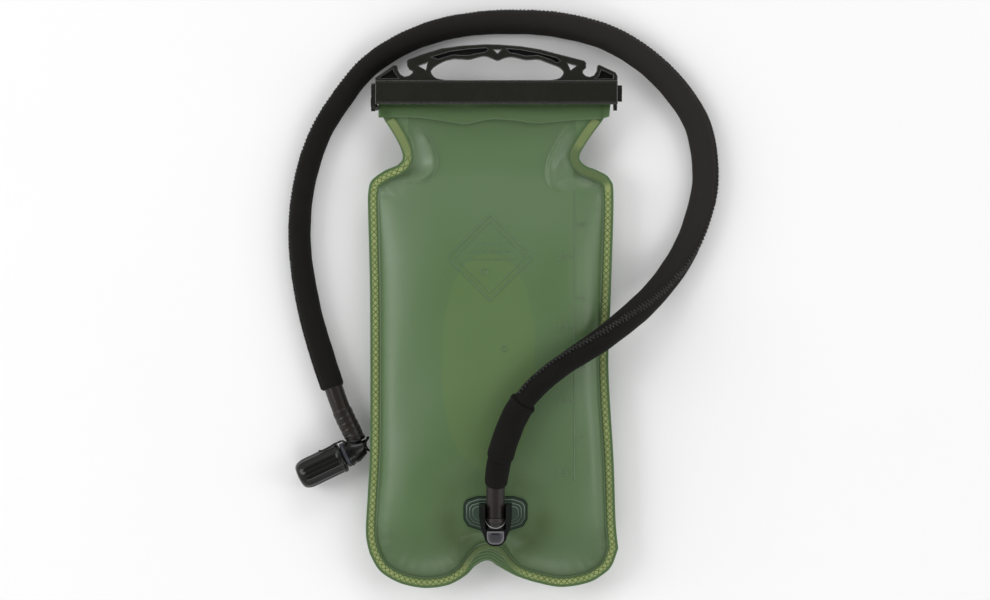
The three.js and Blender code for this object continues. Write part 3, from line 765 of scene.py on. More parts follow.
def make_seam_thread():
    """The seam's overlock stitches: one thread that zigzags over the ridge in close loops."""
    pitch, reach, radius, sides = 2.7, 2.6, 0.36, 6
    at = np.arange(CUFF_END + 1.5, SLEEVE_END - 1.5, pitch / 6)
    swing = np.sin(2 * math.pi * (at - at[0]) / pitch)
    uneven = 0.78 + 0.22 * np.sin(at / 1.7) * np.sin(at / 4.3 + 1)
    angle = seam_angle(at) + reach * uneven * swing / SLEEVE_R
    middle, out, up = on_route(at + 0.5 * np.cos(2 * math.pi * at / pitch * 2))[:3]
    lift = 0.4 + 0.35 * np.cos(math.pi * swing / 2)
    wide = np.array([sleeve_girth(a) for a in at]) + lift
    tall = SLEEVE_R + lift
    cosine, sine = np.cos(angle)[:, None], np.sin(angle)[:, None]
    line = middle + wide[:, None] * cosine * out + tall[:, None] * sine * up
    away = cosine * out + sine * up
    return rod("seam_stitches", line, radius, sides, "hose", thread_paint(), away)


# ---- Bag ----
def loop_round_bag():
    """The welded outline from the mouth's left end, down, along the base and up to the mouth's right end,
    with its inward directions, the weld's width and the two inner corners' places in the list."""
    side_steps, base_steps = 300, 180
    left = spline(BAG_LEFT)(np.linspace(1, 0, side_steps))
    base = spline(BAG_BASE)(np.linspace(0, 1, base_steps))
    right = spline(BAG_RIGHT)(np.linspace(0, 1, side_steps))
    line = np.vstack([left, base[1:-1], right])
    along = headings(line)
    inward = np.stack([-along[:, 1], along[:, 0]], -1)
    kernel = np.hanning(9) / np.hanning(9).sum()
    padded = np.vstack([np.repeat(inward[:1], 4, 0), inward, np.repeat(inward[-1:], 4, 0)])
    inward = unit(np.stack([np.convolve(padded[:, k], kernel, "valid") for k in range(2)], -1))
    arch = 6.6 * bell(line[:, 0], -0.5, 11) * (line[:, 1] < -150)
    return line, inward, WELD_WIDTH + arch, side_steps - 1, side_steps + base_steps - 2


OUTLINE, INWARD, WELD, CORNER_LEFT, CORNER_RIGHT = loop_round_bag()
INNER = OUTLINE + INWARD * WELD[:, None]
OUTLINE_AT = walked(OUTLINE)


def seam_height(x, y):
    """The weld's height; both films follow its slow waves, which fade out at the mouth and the port."""
    height = SEAM_Z + (MOUTH_SEAM_Z - SEAM_Z) * smoothstep(y, 100, 145)
    waves = 0.8 * np.sin(x / 31 + 1.3) * np.sin(y / 43 + 0.4) + 0.5 * np.sin(x / 19 - y / 27)
    return height + waves * (1 - smoothstep(y, 95, 130)) * smoothstep(np.hypot(x - 2.5, y + 142), 30, 70)


def dome(w):
    """A flattened dome: one in the middle, where w is 0, and nothing at its edge, where w is 1."""
    return np.clip(1 - np.clip(w, 0, 1) ** 2.5, 0, 1) ** 0.6


def patch():
    """Plan of the film inside the weld: points in rows from the base up, and their two shares."""
    left, right = INNER[CORNER_LEFT::-1], INNER[CORNER_RIGHT:]
    base = INNER[CORNER_LEFT:CORNER_RIGHT + 1]
    rows, columns = len(left), len(base)
    s = np.linspace(0, 1, columns)
    t = np.linspace(0, 1, rows)
    top = left[-1] + (right[-1] - left[-1]) * s[:, None]
    across = between(left, right, s).swapaxes(0, 1)
    low = base[0] + (base[-1] - base[0]) * s[:, None]
    high = top[0] + (top[-1] - top[0]) * s[:, None]
    plan = across + between(base, top, t) - between(low, high, t)
    return plan, np.broadcast_to(s, (rows, columns)), np.broadcast_to(t[:, None], (rows, columns))


def between(low, high, t):
    """Rows of points from the low line to the high one, at shares t of the way."""
    return low[None] * (1 - t)[:, None, None] + high[None] * t[:, None, None]


def distance_to(plan, line):
    """Distance from each plan point to a polyline's points, and the nearest point's number."""
    flat = plan.reshape(-1, 2)
    best = np.full(len(flat), 1e9)
    which = np.zeros(len(flat), int)
    for start in range(0, len(flat), 4000):
        gaps = np.linalg.norm(flat[start:start + 4000, None] - line[None], axis=2)
        which[start:start + 4000] = gaps.argmin(1)
        best[start:start + 4000] = gaps.min(1)
    return best.reshape(plan.shape[:2]), which.reshape(plan.shape[:2])


# Folds of the film: the line's points, its height, its half width on the left of the line's direction and
# on its right
FOLDS = [
    ([(-56, 137), (-47.2, 127.3), (-42.2, 115.8), (-41.5, 108.7), (-45, 101.5), (-53, 98), (-63, 98)], 3.0,
     1.5, 5.0),
    ([(55.3, 137.3), (47.6, 123.5), (42.2, 112.8), (40.7, 102), (43, 94.4), (49.5, 90.5)], 3.0, 5.0, 1.5),
    ([(66, 132), (60, 119), (50.7, 108), (46, 99)], 1.4, 3.2, 1.2),
    ([(-60, 134), (-56, 122), (-56, 112)], 1.0, 1.2, 3.0),
    ([(-86, 90), (-76, 93), (-64, 96)], 0.6, 4.5, 4.5),
    ([(82, 88), (70, 91), (58, 94)], 0.6, 4.5, 4.5),
]


def folds(plan):
    """The folds' height at the plan's points; each fades at its two ends."""
    total = np.zeros(plan.shape[:2])
    steps = 60
    for points, height, left_half, right_half in FOLDS:
        line = spline(points)(np.linspace(0, 1, steps))
        gap, nearest = distance_to(plan, line)
        heading = headings(line)[nearest]
        away = plan - line[nearest]
        side = smoothstep(heading[..., 0] * away[..., 1] - heading[..., 1] * away[..., 0], -0.8, 0.8)
        half = right_half + (left_half - right_half) * side
        share = nearest / (steps - 1)
        taper = np.clip(np.minimum(share, 1 - share) * 4, 0, 1)
        beyond = np.where((share == 0) | (share == 1), np.exp(-gap / half), 1)
        total += height * bell(gap, 0, half) * (0.15 + 0.85 * taper) * beyond
    return total


def port_pad(x, y, z):
    """Draws the front film up to the flat underside of the port's flange."""
    dx = np.abs(x - PORT_MIDDLE[0]) - 19
    dy = np.abs(y - PORT_MIDDLE[1]) - 8.5
    gap = np.hypot(np.maximum(dx, 0), np.maximum(dy, 0)) + np.minimum(np.maximum(dx, dy), 0) - 4
    held = 1 - smoothstep(gap, 0, 11)
    return z + (PORT_FLOOR - z) * held


def under_port(x, y, z):
    """Keeps the film below the port's plane near it, with a soft shoulder where it starts to be held."""
    dx = np.maximum(np.abs(x - PORT_MIDDLE[0]) - 26, 0) / 48
    dy = np.maximum(np.abs(y + 142) - 18, 0) / 40
    ceiling = PORT_FLOOR + 6 * smoothstep(np.hypot(dx, dy), 0, 1)
    softness = 1.6
    return -softness * np.log(np.exp(-z / softness) + np.exp(-ceiling / softness))


def fullness(s, t, y):
    """How far the film bulges, from nothing at the weld and towards the mouth to one where it is fullest."""
    rise_end = 0.24
    endways = np.where(t < rise_end, dome((rise_end - t) / rise_end), 1)
    return dome(np.abs(2 * s - 1)) * endways * (1 - smoothstep(y, 30, 137))


def weld_puckers(gap, nearest):
    """Short creases square to the weld, strongest where the outline curves."""
    at = OUTLINE_AT[nearest]
    along = np.gradient(OUTLINE, axis=0)
    heading = np.unwrap(np.arctan2(along[:, 1], along[:, 0]))
    bend = np.abs(np.gradient(heading) / np.gradient(OUTLINE_AT))
    bend = np.convolve(bend, np.hanning(31) / np.hanning(31).sum(), "same")
    strength = 0.10 + 0.5 * np.clip(bend[nearest] / 0.05, 0, 1)
    ripple = np.sin(at / 1.9) + 0.6 * np.sin(at / 3.3 + 2) + 0.4 * np.sin(at / 5.9 + 4)
    return strength * ripple * np.exp(-gap / 6.5) * (1 - np.exp(-gap / 1.2))


def film_surface(side):
    """The film inside the weld: its plan, its heights and its distance to the weld. side is 1 for the front
    and -1 for the back."""
    plan, s, t = patch()
    x, y = plan[..., 0], plan[..., 1]
    seam = seam_height(x, y)
    gap, nearest = distance_to(plan, INNER)
    full = fullness(s, t, y)
    soft = smoothstep(gap, 0, 12)
    if side > 0:
        z = under_port(x, y, seam + FILM + FRONT_CROWN * full)
        dents = 0.35 * np.sin(x / 23 + y / 37) * np.sin(y / 29 - 1) + 0.2 * np.sin(x / 11 - y / 17)
        z = z + soft * dents + folds(plan) * smoothstep(gap, 0, 4) * (1 - smoothstep(y, 134, 139))
        z = z + weld_puckers(gap, nearest) * (1 - smoothstep(y, 130, 140))
        z = port_pad(x, y, z)
        z = np.maximum(z, seam + FILM * 0.9)
    else:
        z = seam - FILM - BACK_DEPTH * full
        z = z - 0.7 * weld_puckers(gap, nearest) * (1 - smoothstep(y, 130, 140))
        z = z - 0.6 * folds(plan) * smoothstep(gap, 0, 4) * (1 - smoothstep(y, 120, 139))
        floor, settling = 0.05, 2
        settled = floor + (settling - floor) * np.exp(np.minimum(z - settling, 0) / settling)
        z = np.where(z > settling, z, settled)
        z = np.minimum(z, seam - FILM * 0.9)
    return plan, z, gap


def film_masks(side, x, y, gap):
    """The masks that film_paint reads, at points of the film inside the weld."""
    power = 2.3
    # Painted light inside the oval where the back film lies on the floor, with a thin line at its edge on
    # the front film.
    oval = ((np.abs(x + 2.3) / 33) ** power + (np.abs(y + 32) / 76) ** power) ** (1 / power)
    contact = 0.75 * (1 - smoothstep(oval, 0.99, 1.0)) + 0.4 * bell(oval, 1, 0.012) * (side > 0)
    # Painted light, paler, on the slopes and on the lit sides of the folds.
    painted_light = 0.15 * within(-x, (28, 60), (68, 80)) * smoothstep(y, -160, -60)
    painted_light += 0.03 * within(x, (50, 72), (74, 81)) * smoothstep(y, -150, -60)
    lit = ((-50, 118, 7, 16, 0.45), (51, 115, 7, 17, 0.45), (-69, 92, 9, 7, 0.4))
    for at_x, at_y, wide, tall, full in lit:
        painted_light += full * bell(x, at_x, wide) * bell(y, at_y, tall)
    # Painted shade: a line beside the weld, inside the shoulders, along the base, by the left fold, under
    # the lip, and darker towards the bottom.
    shoulder = bell(y, 102, 10) * (np.abs(x) > 58)
    shade_and_seam = 0.55 * np.exp(-gap / 1.4) + 0.75 * shoulder * bell(gap, 0, 5)
    shade_and_seam += 0.4 * (y < -150) * np.exp(-gap / 3.5) + 0.7 * bell(x, -57, 6) * bell(y, 105, 5)
    under_flap = 0.35 * smoothstep(y, 118, 139) * (np.abs(x) < 60)
    shade_and_seam += under_flap + 0.25 * smoothstep(-y, 135, 165) + 0.13 * smoothstep(-y, 30, 100)
    # Painted shade, olive, in a ring round the port and in two patches below it.
    around = np.hypot((x - PORT_MIDDLE[0]) / 1.15, y + 143)
    beside = np.abs(x - PORT_MIDDLE[0]) > 12
    painted_port_shade = bell(around, 29, 9) * (0.3 + 0.42 * smoothstep(-y, 132, 148)) * beside
    for at_x in (-19, 27):
        painted_port_shade = np.maximum(painted_port_shade, 0.85 * bell(x, at_x, 13) * bell(y, -159, 9))
    return {"contact": contact, "painted_light": painted_light, "weld": 0.6 * np.exp(-gap / 1.5),
            "shade_and_seam": np.clip(shade_and_seam, 0, 1), "painted_port_shade": painted_port_shade}


def film_piece(name, side, material):
    """One film as a thin shell: the weld's band round the edge, and the patch inside it."""
    plan, z, gap = film_surface(side)
    rows, columns = z.shape
    patch_points = np.dstack([plan, z]).reshape(-1, 3)
    shares = np.array([0, 0.04, 0.12, 0.24, 0.37, 0.5, 0.63, 0.76, 0.88])
    band_plan = OUTLINE[:, None] + INWARD[:, None] * (WELD[:, None] * shares[None])[..., None]
    x, y = band_plan[..., 0], band_plan[..., 1]
    thin = np.where(shares == 0, 0.45, FILM)
    band_z = seam_height(x, y) + side * thin[None]
    band_points = np.dstack([band_plan, band_z]).reshape(-1, 3)
    first = len(patch_points)
    per = len(shares)
    ring = [i * columns for i in range(rows)][::-1]
    ring += list(range(1, columns - 1))
    ring += [i * columns + columns - 1 for i in range(rows)]
    faces = grid_faces(rows, columns)
    for i in range(len(OUTLINE) - 1):
        a, b = first + i * per, first + (i + 1) * per
        faces += [(a + k, b + k, b + k + 1, a + k + 1) for k in range(per - 1)]
        faces.append((a + per - 1, b + per - 1, ring[i + 1], ring[i]))
    points = np.vstack([patch_points, band_points])
    if side > 0:
        faces = [f for f in faces if math.dist(points[list(f), :2].mean(0), THROAT) >= THROAT_HOLE]
    else:
        faces = [f[::-1] for f in faces]
    masks = {}
    for mask, values in film_masks(side, *patch_points[:, :2].T, gap.ravel()).items():
        masks[mask] = np.append(values, np.full(len(band_points), mask == "weld"))
    return thicken(film_part(name, points, faces, material, masks), 0.5)


def strip_piece(name, side, material):
    """The heat-sealed strip that stands a little proud of the weld; plain beside the mouth."""
    top = 139
    start = int(np.argmin(np.abs(OUTLINE[:CORNER_LEFT, 1] - top)))
    end = CORNER_RIGHT + int(np.argmin(np.abs(OUTLINE[CORNER_RIGHT:, 1] - top)))
    at = np.arange(OUTLINE_AT[start], OUTLINE_AT[end], 0.7)
    line, inner = (along_line(at, OUTLINE_AT, edge) for edge in (OUTLINE, INNER))
    inward = unit(inner - line)
    across = STRIP_WIDTH * np.array([0, 0.05, 0.14, 0.25, 0.38, 0.5, 0.62, 0.75, 0.86, 0.95, 1])
    proud = np.array([-0.05, 0.16, 0.24, 0.26, 0.27, 0.27, 0.27, 0.26, 0.24, 0.16, -0.05])
    upper = smoothstep(line[:, 1], 108, 128)
    wide = 1 + 0.36 * upper
    inset = STRIP_INSET - 0.6 * upper
    plan = inner[:, None] - inward[:, None] * (inset[:, None] + across[None] * wide[:, None])[..., None]
    x, y = plan[..., 0], plan[..., 1]
    u = np.broadcast_to(at[:, None], x.shape)
    v = np.broadcast_to(across[None], x.shape)

    def groove(phase):
        folded = np.abs((phase + HATCH / 2) % HATCH - HATCH / 2)
        return 1 - smoothstep(folded, *HATCH_LINE)

    x_mid, y_mid = line[:, 0], line[:, 1]
    on_left = x_mid < 0
    hatched = np.where(on_left, 1 - smoothstep(y_mid, 112, 120), 1 - smoothstep(y_mid, 86, 95))
    arch = bell(x_mid, 1, 17, 4) * (y_mid < -150)
    hatched = hatched * (1 - arch)
    turned_under = np.where(on_left, 0, within(y_mid, (92, 100), (112, 122)))
    plain = np.clip(turned_under + arch + 0.6 * smoothstep(y_mid, 108, 120), 0, 1)
    cut = np.maximum(groove(u + v), groove(u - v)) * hatched[:, None]
    z = seam_height(x, y) + side * (FILM + proud[None] - 0.16 * cut * (proud[None] > 0.2))
    points = np.dstack([plan, z]).reshape(-1, 3)
    faces = grid_faces(len(at), len(across))
    if side < 0:
        faces = [f[::-1] for f in faces]
    masks = {"hatch": np.repeat(hatched, len(across)), "plain": np.repeat(plain, len(across))}
    uv = np.stack([u.ravel(), v.ravel()], -1)
    thicken(film_part(name, points, faces, material, masks, uv), 0.25)


class Drape:
    """Lays plan points on a piece from above."""

    def __init__(self, piece):
        points = [v.co for v in piece.data.vertices]
        self.tree = BVHTree.FromPolygons(points, [tuple(p.vertices) for p in piece.data.polygons])

    def height(self, x, y):
        hit = self.tree.ray_cast(Vector((x * MM, y * MM, 0.2)), Vector((0, 0, -1)))
        return hit[0].z / MM if hit[0] else SEAM_Z


def ribbon(line, width, proud, drape, closed=False):
    """Points and faces of a low rounded rib along a plan line on the film."""
    line = np.asarray(line, float)
    along = unit(np.roll(line, -1, 0) - np.roll(line, 1, 0)) if closed else headings(line)
    side = np.stack([-along[:, 1], along[:, 0]], -1)
    offsets = [(-0.5, -0.06), (-0.3, proud * 0.8), (0, proud), (0.3, proud * 0.8), (0.5, -0.06)]
    points = []
    for p, n in zip(line, side):
        for share, lift in offsets:
            x, y = p + n * width * share
            points.append((x, y, drape.height(x, y) + lift))
    per = len(offsets)
    faces = grid_faces(len(line), per)
    if closed:
        base = (len(line) - 1) * per
        faces += [(base + k, base + k + 1, k + 1, k) for k in range(per - 1)]
    return points, faces


def outline_points(corners, step=1.0):
    """Points at even steps round a closed polygon."""
    corners = np.array(corners, float)
    points = []
    for a, b in zip(corners, np.roll(corners, -1, 0)):
        count = max(int(np.linalg.norm(b - a) / step), 1)
        points += [a + (b - a) * k / count for k in range(count)]
    return points


def circle_points(x, y, radius, count=24):
    turns = [2 * math.pi * k / count for k in range(count)]
    return [(x + radius * math.cos(a), y + radius * math.sin(a)) for a in turns]


# The volume scale: its line's place, and the heights of its figures, which each have a tick
SCALE_X = 58.6
LITRES = {"2.0": 42.9, "1.5": -7.2, "1.0": -60.1, "0.5": -110.8}
SMALLER = {"60": 65.8, "45": 13.6, "30": -35.8, "15": -85.1}


def make_emboss(drape, material):
    """Raised marks on the front film: a diamond with three waves in it, the volume scale's line and ticks,
    small rings, and lines that follow the notch."""
    middle_x, middle_y = -1.4, 42.2
    ribs = [
        ([(SCALE_X, y) for y in np.arange(-116, 91, 1.5)], 0.6, 0.22, False),
        (circle_points(-5.6, 32.2, 2.4), 0.9, 0.3, True),
        (circle_points(8.6, -22.2, 1.9), 0.8, 0.25, True),
    ]
    for half, width, proud in ((30.4, 1.0, 0.34), (25.4, 0.6, 0.2)):
        reach = half - 0.2
        diamond = [(middle_x, middle_y + half), (middle_x + reach, middle_y), (middle_x, middle_y - half),
                   (middle_x - reach, middle_y)]
        ribs.append((outline_points(diamond), width, proud, True))
    for levels, ticks in ((LITRES, -np.linspace(0, 3, 5)), (SMALLER, np.linspace(0, 2.4, 4))):
        for level in levels.values():
            ribs.append(([(SCALE_X + k, level) for k in ticks], 0.5, 0.14, False))
    for row, half in ((52, 9), (46.5, 15), (41, 19)):
        wave = [(middle_x + x, row + 0.6 * math.sin(x * 1.1)) for x in np.arange(-half, half, 0.5)]
        ribs.append((wave, 0.6, 0.22, False))
    notch = np.flatnonzero(np.hypot(OUTLINE[:, 0] + 3.3, OUTLINE[:, 1] + 173.7) < 12)
    for inset in (1.4, 3.4, 5.6, 7.6):
        ribs.append((OUTLINE[notch] + INWARD[notch] * inset, 0.7, 0.2, False))
    points, faces = [], []
    for line, width, proud, closed in ribs:
        more, joined = ribbon(line, width, proud, drape, closed)
        faces += [tuple(i + len(points) for i in f) for f in joined]
        points += more
    # The marks get painted light: they are drawn paler than the film, as light catches the raised ribs.
    masks = {"painted_light": np.full(len(points), 0.25)}
    thicken(film_part("embossed_marks", points, faces, material, masks), 0.1)


def make_scale_numbers(drape, material):
    """The scale's generic figures, in litres on the left of its line and in smaller units on its right."""
    figures = [(text, SCALE_X - 8, y, 6.6) for text, y in LITRES.items()]
    figures += [(text, SCALE_X + 5.8, y, 4.6) for text, y in SMALLER.items()]
    points, faces = [], []
    for text, x, y, size in figures:
        curve = bpy.data.curves.new("figure", "FONT")
        curve.body = text
        curve.align_x = curve.align_y = "CENTER"
        curve.size = size
        curve.extrude = 0.2
        curve.resolution_u = 3
        holder = bpy.data.objects.new("figure", curve)
        shape = bpy.data.meshes.new_from_object(holder)
        base = len(points)
        for vertex in shape.vertices:
            px, py = vertex.co.x + x, vertex.co.y + y
            points.append((px, py, drape.height(px, py) + vertex.co.z + 0.12))
        faces += [tuple(i + base for i in p.vertices) for p in shape.polygons]
        bpy.data.objects.remove(holder)
        bpy.data.meshes.remove(shape)
    # The figures get painted light: they are drawn paler than the film round them.
    masks = {"painted_light": np.full(len(points), 0.6)}
    sharpen(tidy_normals(film_part("scale_figures", points, faces, material, masks)), 30)


def make_flap(material):
    """The mouth's folded lip with its wavy hem; it bellies a little between the closure and the hem."""
    hem = spline(FLAP_HEM)
    columns, rows = 200, 34
    s = np.linspace(0, 1, columns)
    low = hem(s)
    high = np.stack([-81 + 166.6 * s, np.full(columns, 164.6)], -1)
    t = np.linspace(0, 1, rows) ** 1.4
    plan = between(low, high, t)
    x, y = plan[..., 0], plan[..., 1]
    above_hem = y - low[None, :, 1]
    base = MOUTH_SEAM_Z + 0.45 + 2 * 0.7
    belly = 0.9 * np.sin(np.clip(above_hem / 13, 0, 1) * math.pi)
    curl = 0.7 * bell(above_hem, 0, 1.6) * (0.6 + 0.4 * np.sin(x / 9))
    wave = 0.25 * np.sin(x / 14) * (1 - t)[:, None]
    z = base + (belly + curl + wave) * (1 - smoothstep(y, 148, 152.5))
    points = np.dstack([plan, z]).reshape(-1, 3)
    # The hem gets painted light. The lip is darker at its two ends and gets painted shade under the closure
    # bar.
    ends = bell(x, -76, 4) + bell(x, 78.5, 1.1)
    under_bar = 0.3 + 0.5 * smoothstep(y, 141, 150)
    masks = {"painted_light": 0.8 * bell(above_hem, 0.4, 0.8).ravel(), "weld": np.full(x.size, 0.5),
             "shade_and_seam": np.clip(0.5 * ends + under_bar, 0, 1).ravel()}
    piece = film_part("folded_lip", points, grid_faces(rows, columns), material, masks)
    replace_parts(thicken(piece, FILM), "mouth_flap")


def make_bag():
    film = film_paint()
    front = film_piece("front_shell", 1, film)
    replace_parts(front, "front_film")
    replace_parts(film_piece("back_shell", -1, film), "back_film")
    strip = strip_paint()
    strip_piece("front_weld_strip", 1, strip)
    strip_piece("back_weld_strip", -1, strip)
    drape = Drape(front)
    make_emboss(drape, film)
    make_scale_numbers(drape, film)
    make_flap(film)


# ---- Hard parts ----
def make_closure():
    """The slide closure with its handle, and the rails that it runs on with the stops at their left end."""
    hollow_low, hollow_high, rim_low = 26.0, 27.0, 29.3
    bar_left, bar_right = -82.2, 88.5
    black = plastic_paint("closure_black", (0.0052, 0.0054, 0.0032), (0.0105, 0.0106, 0.0070), 0.28,
                          Coat_Weight=0.6, Coat_Roughness=0.14)
    # Painted shade: a near-black material on the level floors of the handle's hollows, between the two
    # heights.
    recess_shade = plastic_paint("closure_recess_shade", (0.0012, 0.0012, 0.0010), (0.0026, 0.0026, 0.0022), 0.6)
    refined("slider_handle", black, 0.5, hollow=(recess_shade, hollow_low, hollow_high))
    # Painted highlight: the beads along the handle's front edges are lighter than the black, and glossier.
    rim_highlight = plastic_paint("closure_rim", (0.016, 0.016, 0.014), (0.040, 0.040, 0.037), 0.22,
                             Coat_Weight=0.9, Coat_Roughness=0.1)
    rim_beads("closure_rims", "slider_handle", rim_low, 0.32, rim_highlight)
    for name, y, z, radius in (("bar_bead_low", 153.0, 30.75, 0.4), ("bar_bead_high", 167.4, 30.7, 0.25)):
        line = [(x, y, z) for x in np.linspace(bar_left, bar_right, 30)]
        rod(name, line, radius, 8, "closure", black)
    refined("front_rail", black, 0.35)
    refined("back_rail", black, 0.35)
    bead = [0.3, 0.75, 0.95, 1, 1, 1, 0.95, 0.75, 0.3]
    for name, x, low, high, z, radius in (("rail_stop_high", -84.8, 160.6, 166.9, 22.8, 1.55),
                                          ("rail_stop_low", -84.9, 147.2, 159.2, 26.2, 1.65)):
        line = [(x, y, z) for y in np.linspace(low, high, len(bead))]
        rod(name, line, radius * np.array(bead), 20, "bag", black)
    line = [(x, 150.3 - 0.25 * (x + 86), 26.2) for x in np.linspace(-85.8, -80.4, len(bead))]
    rod("rail_stop_foot", line, 2.2 * np.array(bead), 20, "bag", black)


def lined_paint(name, low, high, light, dark, roughness):
    """Moulded plastic with a painted highlight on its edges and painted shade in its grooves, by its masks.
    """
    paint = Paint(name, Roughness=roughness, Coat_Weight=0.1, Coat_Roughness=0.2, Specular_IOR_Level=0.12)
    body = paint.mix(paint.noise(45, 3), low, high)
    edged = paint.mix(paint.mask("edge"), body, light)
    paint.colour(edged, dark, paint.mask("groove"))
    paint.relief(paint.noise(2200, 2), 0.03, 0.5)
    return paint.material


def make_flange():
    """The stepped plate that is welded on the film, and the throat under it. Each step has a raised edge and
    a groove at its foot; the raised edges carry a painted highlight that fades low down, and the grooves and
    the outer rim carry painted shade."""
    green = lined_paint("port_green", (0.040, 0.062, 0.044), (0.056, 0.084, 0.062),
                        (0.170, 0.230, 0.172), (0.006, 0.014, 0.008), 0.32)
    half, low, high, middle = 22.8, -152.2, -127.3, PORT_MIDDLE[0]
    corners = [(-half, low + 8.5), (-half + 3, low + 3.5), (-half + 13.5, low), (half - 13.5, low),
               (half - 3, low + 3.5), (half, low + 8.5), (half, high - 5.5), (half - 2.2, high - 2.4),
               (half - 9.5, high), (9.5 - half, high), (2.2 - half, high - 2.4), (-half, high - 5.5)]
    outline = rounded([(x + middle, y) for x, y in corners], 3)
    base, step = 33.8, 0.9
    rings = [(0, base, 0, 1), (0, base + 0.65, 0, 1), (0.3, base + 0.95, 0, 1),
             (0.75, base + 0.98, 0, 0.9), (1.05, base + 0.96, 0, 0)]
    for foot, level in ((1.9, base + step), (4.2, base + 2 * step)):
        rings += [(foot - 0.6, level, 0, 0), (foot - 0.3, level - 0.1, 0, 1), (foot, level + 0.1, 0, 0.8),
                  (foot + 0.12, level + step - 0.1, 0.8, 0), (foot + 0.35, level + step + 0.05, 1, 0),
                  (foot + 0.6, level + step + 0.03, 0.5, 0), (foot + 0.85, level + step - 0.08, 0, 0)]
    top = base + 3 * step
    rings += [(5.9, top - 0.1, 0, 0), (6.2, top - 0.2, 0, 1), (6.45, top, 1, 0), (6.7, top + 0.05, 1, 0),
              (7.0, top, 0, 0), (9.5, top, 0, 0)]
    flange = plate("stepped_flange", outline, rings, Matrix.Identity(4), "bag", green,
                   ("edge", "groove"), (-142, -134))
    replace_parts(flange, "port_flange")
    outer, bore, low, high = 5.5, 3.4, 24, 33.7
    upright = Matrix.Translation((*THROAT, 0)) @ Matrix.Rotation(-math.pi / 2, 4, "Y")
    profile = [(outer, low), (outer, high), (bore, high), (bore, low), (outer, low)]
    lathe("outlet_throat", profile, 40, upright, "bag", green)


def port_place():
    """From the outlet's own axes (across, along the hose, up) to the row frame, in millimetres."""
    along = Vector(JOINTS["plug_pull"]["axis"])
    above = -Vector(JOINTS["button_press"]["axis"])
    turn = Matrix((along.cross(above), along, above)).transposed()
    return Matrix.Translation(Vector(HOSE_ROUTE[0]) / MM) @ turn.to_4x4()


def make_button():
    """The release button: a dished thumb pad whose rim is painted pale as a highlight and whose dish is
    painted darker towards its middle as shade, and a dark bar across its upper end.
    """
    grey = lined_paint("button_grey", (0.072, 0.068, 0.076), (0.100, 0.096, 0.106), (0.150, 0.146, 0.157),
                       (0.016, 0.016, 0.018), 0.34)
    side, near, end = 6.1, -8.3, -17.6
    outline = rounded([(-side, near), (-side, end + 3.6), (-side + 1.3, end + 1), (-side + 3.6, end),
                       (side - 3.6, end), (side - 1.3, end + 1), (side, end + 3.6), (side, near)], 2)
    rings = [(3.6, 9.2, 0, 1), (0.35, 9.2, 0, 1), (0.35, 7.95, 0, 0), (0, 7.95, 0, 0), (0, 9.7, 0, 0),
             (0.15, 10.15, 0.4, 0), (0.4, 10.35, 0.9, 0), (0.75, 10.32, 0.6, 0), (1.1, 10.1, 0.1, 0.2),
             (1.8, 9.8, 0, 0.35), (2.6, 9.6, 0, 0.5), (3.4, 9.5, 0, 0.55)]
    place = port_place()
    pad = plate("thumb_pad", outline, rings, place, "button", grey, ("edge", "groove"))
    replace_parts(pad, "release_button")
    bar = rounded([(-3, -10.9), (3, -10.9), (3, -9.5), (-3, -9.5)], 2)
    black = plastic_paint("bar_black", (0.006, 0.006, 0.007), (0.012, 0.012, 0.013), 0.4)
    plate("thumb_bar", bar, [(0, 9.3), (0, 9.95), (0.2, 10.05)], place, "button", black, ())


def make_collar_lips():
    """Two lips that cross the plug's collar slantwise; the front one is pale grey, a painted highlight on
    the collar's edge.
    """
    place = port_place()
    turns = np.linspace(0.06, math.pi - 0.06, 40)
    highlight_grey = plastic_paint("lip_highlight", (0.34, 0.36, 0.34), (0.44, 0.46, 0.44), 0.3)
    dark = plastic_paint("lip_black", (0.008, 0.008, 0.008), (0.014, 0.014, 0.014), 0.3)
    lips = []
    for name, start, radius, material in (("collar_lip", -0.9, 0.3, highlight_grey), ("collar_edge", -1.8, 0.4, dark)):
        line = [place @ Vector((7.1 * math.cos(turn), start - 5.6 * math.sin(turn), 7.3 * math.sin(turn)))
                for turn in turns]
        lips.append(rod(name, line, radius, 8, "hose", material, (0, 1, 0.3)))
    return lips


def make_port():
    """The outlet on the bag, and the plug in it. Returns what goes with the hose."""
    black = plastic_paint("port_black", (0.0035, 0.0048, 0.0038), (0.0075, 0.0092, 0.0080), 0.3,
                          Coat_Weight=0.06, Coat_Roughness=0.18)
    lavender = plastic_paint("poppet_grey", (0.20, 0.195, 0.215), (0.27, 0.26, 0.285), 0.38)
    refined("port_housing", black, 0.4)
    make_flange()
    make_button()
    refined("valve_poppet", lavender, 0.2)
    steel = steel_paint()
    for node in ("poppet_spring", "button_spring"):
        spring = frame["nodes"][node]
        spring.data.materials.clear()
        spring.data.materials.append(steel)
    seal = plastic_paint("seal_rubber", (0.010, 0.010, 0.010), (0.018, 0.018, 0.018), 0.6)
    smoke = smoke_paint("smoky_plug", (0.024, 0.022, 0.021), (0.042, 0.040, 0.039))
    ring = refined("plug_oring", seal, 0.05, 60)
    plug = refined("hose_plug", smoke, 0.25, 30)
    return [plug, ring, *make_collar_lips()]


def valve_place():
    """From the bite valve's own axes (to the knob, along the tube, up) to the row frame, in millimetres."""
    joint = JOINTS["elbow_swivel"]
    along = Vector(joint["axis"])
    knobward = along.cross(Vector((0, 0, 1)))
    spot = Vector(joint["pos_m"]) / MM
    turn = Matrix((knobward, along, (0, 0, 1))).transposed()
    return Matrix.Translation(spot) @ turn.to_4x4()


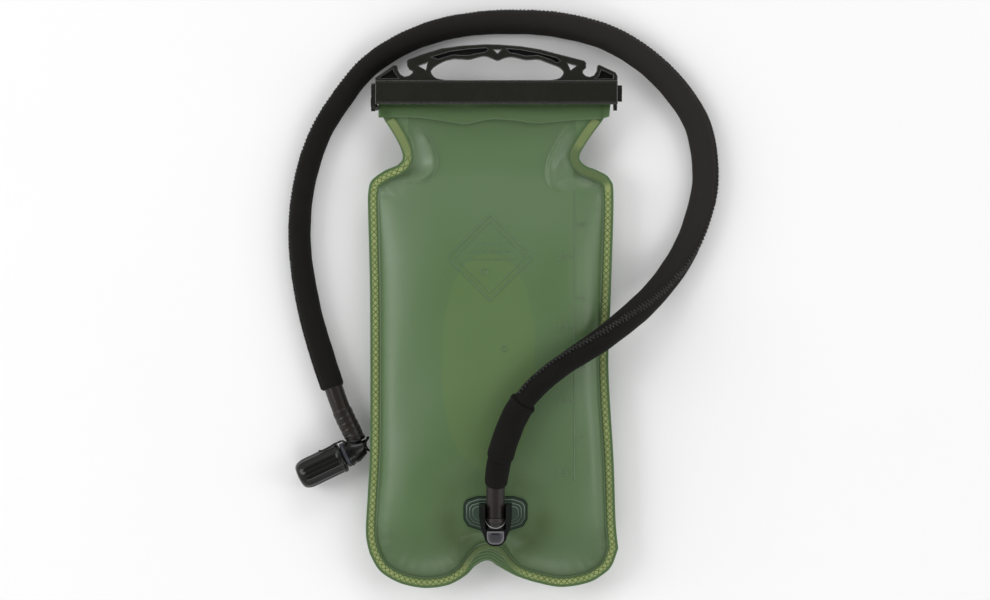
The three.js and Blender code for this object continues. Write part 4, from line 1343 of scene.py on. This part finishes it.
def make_tether(place, material):
    """The strap from the ring over the cover's side."""
    lean = math.radians(32)
    reaches = [(-7.4, 9.4), (-8, 11.2), (-10, 12.4), (-15.4, 12.5), (-20, 11.9), (-25, 11.9),
               (-27.2, 13.2)]
    knots = [(x, reach * math.cos(lean), reach * math.sin(lean)) for x, reach in reaches]
    line = spline(knots)(np.linspace(0, 1, 50))
    strap = rod("cover_strap", [place @ Vector(p) for p in line], 0.7, 10, None, material)
    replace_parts(strap, "cover_tether")
    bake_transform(strap)


def make_valve():
    """The elbow with its knob, ring, mouthpiece, strap and cover. Returns what goes with the hose."""
    place = valve_place()
    black = plastic_paint("valve_black", (0.0035, 0.0035, 0.0032), (0.0075, 0.0075, 0.0070), 0.2,
                          0.02, Coat_Weight=0.1, Coat_Roughness=0.12)
    silicone = plastic_paint("mouthpiece_silicone", (0.032, 0.034, 0.042), (0.050, 0.052, 0.062), 0.42)
    smoke = smoke_paint("dust_cover_smoke", (0.0042, 0.0040, 0.0036), (0.0095, 0.0092, 0.0085), 0.12)
    elbow = refined("valve_elbow", black, 0.4, 30)
    knob = refined("shutoff_knob", black, 0.4, 30)
    ring = refined("tether_ring", black, 0.2, 30)
    mouth = refined("bite_valve", silicone, 0.2, 50)
    make_tether(place, black)
    neck = [tuple(place @ Vector((0, y, 0))) for y in (5.5, 5.9, 6.8, 7.4, 7.7)]
    rod("neck_ring", neck, [6.4, 7, 7.2, 7.2, 6.9], 40, "elbow", black)

    def flutes(angle, at, radius):
        fluted = radius >= 9.9 and -45 <= at <= -17
        return 0.975 + 0.04 * abs(math.sin(7 * angle)) ** 1.5 if fluted else 1

    profile = [(0, -48.8), (3.6, -48.7), (6.8, -48.2), (8.6, -47.2), (9.8, -45.4), (10.5, -43)]
    profile += [(10.8, at) for at in np.linspace(-41, -18, 12)]
    profile += [(10.9, -16.6), (11.3, -16.2), (11.45, -15.4), (11.3, -14.6), (10.9, -14.2), (10.9, -13.7)]
    profile += [(9.8, -13.7), (9.8, -41), (8.8, -44.6), (5.8, -46.8), (0, -47.4)]
    cover = lathe("fluted_cover", profile, 96, place, "cover", smoke, flutes)
    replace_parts(cover, "dust_cover")
    return [elbow, knob, ring, mouth, cover]


# ---- Assembly ----
make_camera()
make_studio()
hose, on_hose = make_hose()
on_hose += make_port()
on_hose += make_valve()
make_bag()
make_closure()
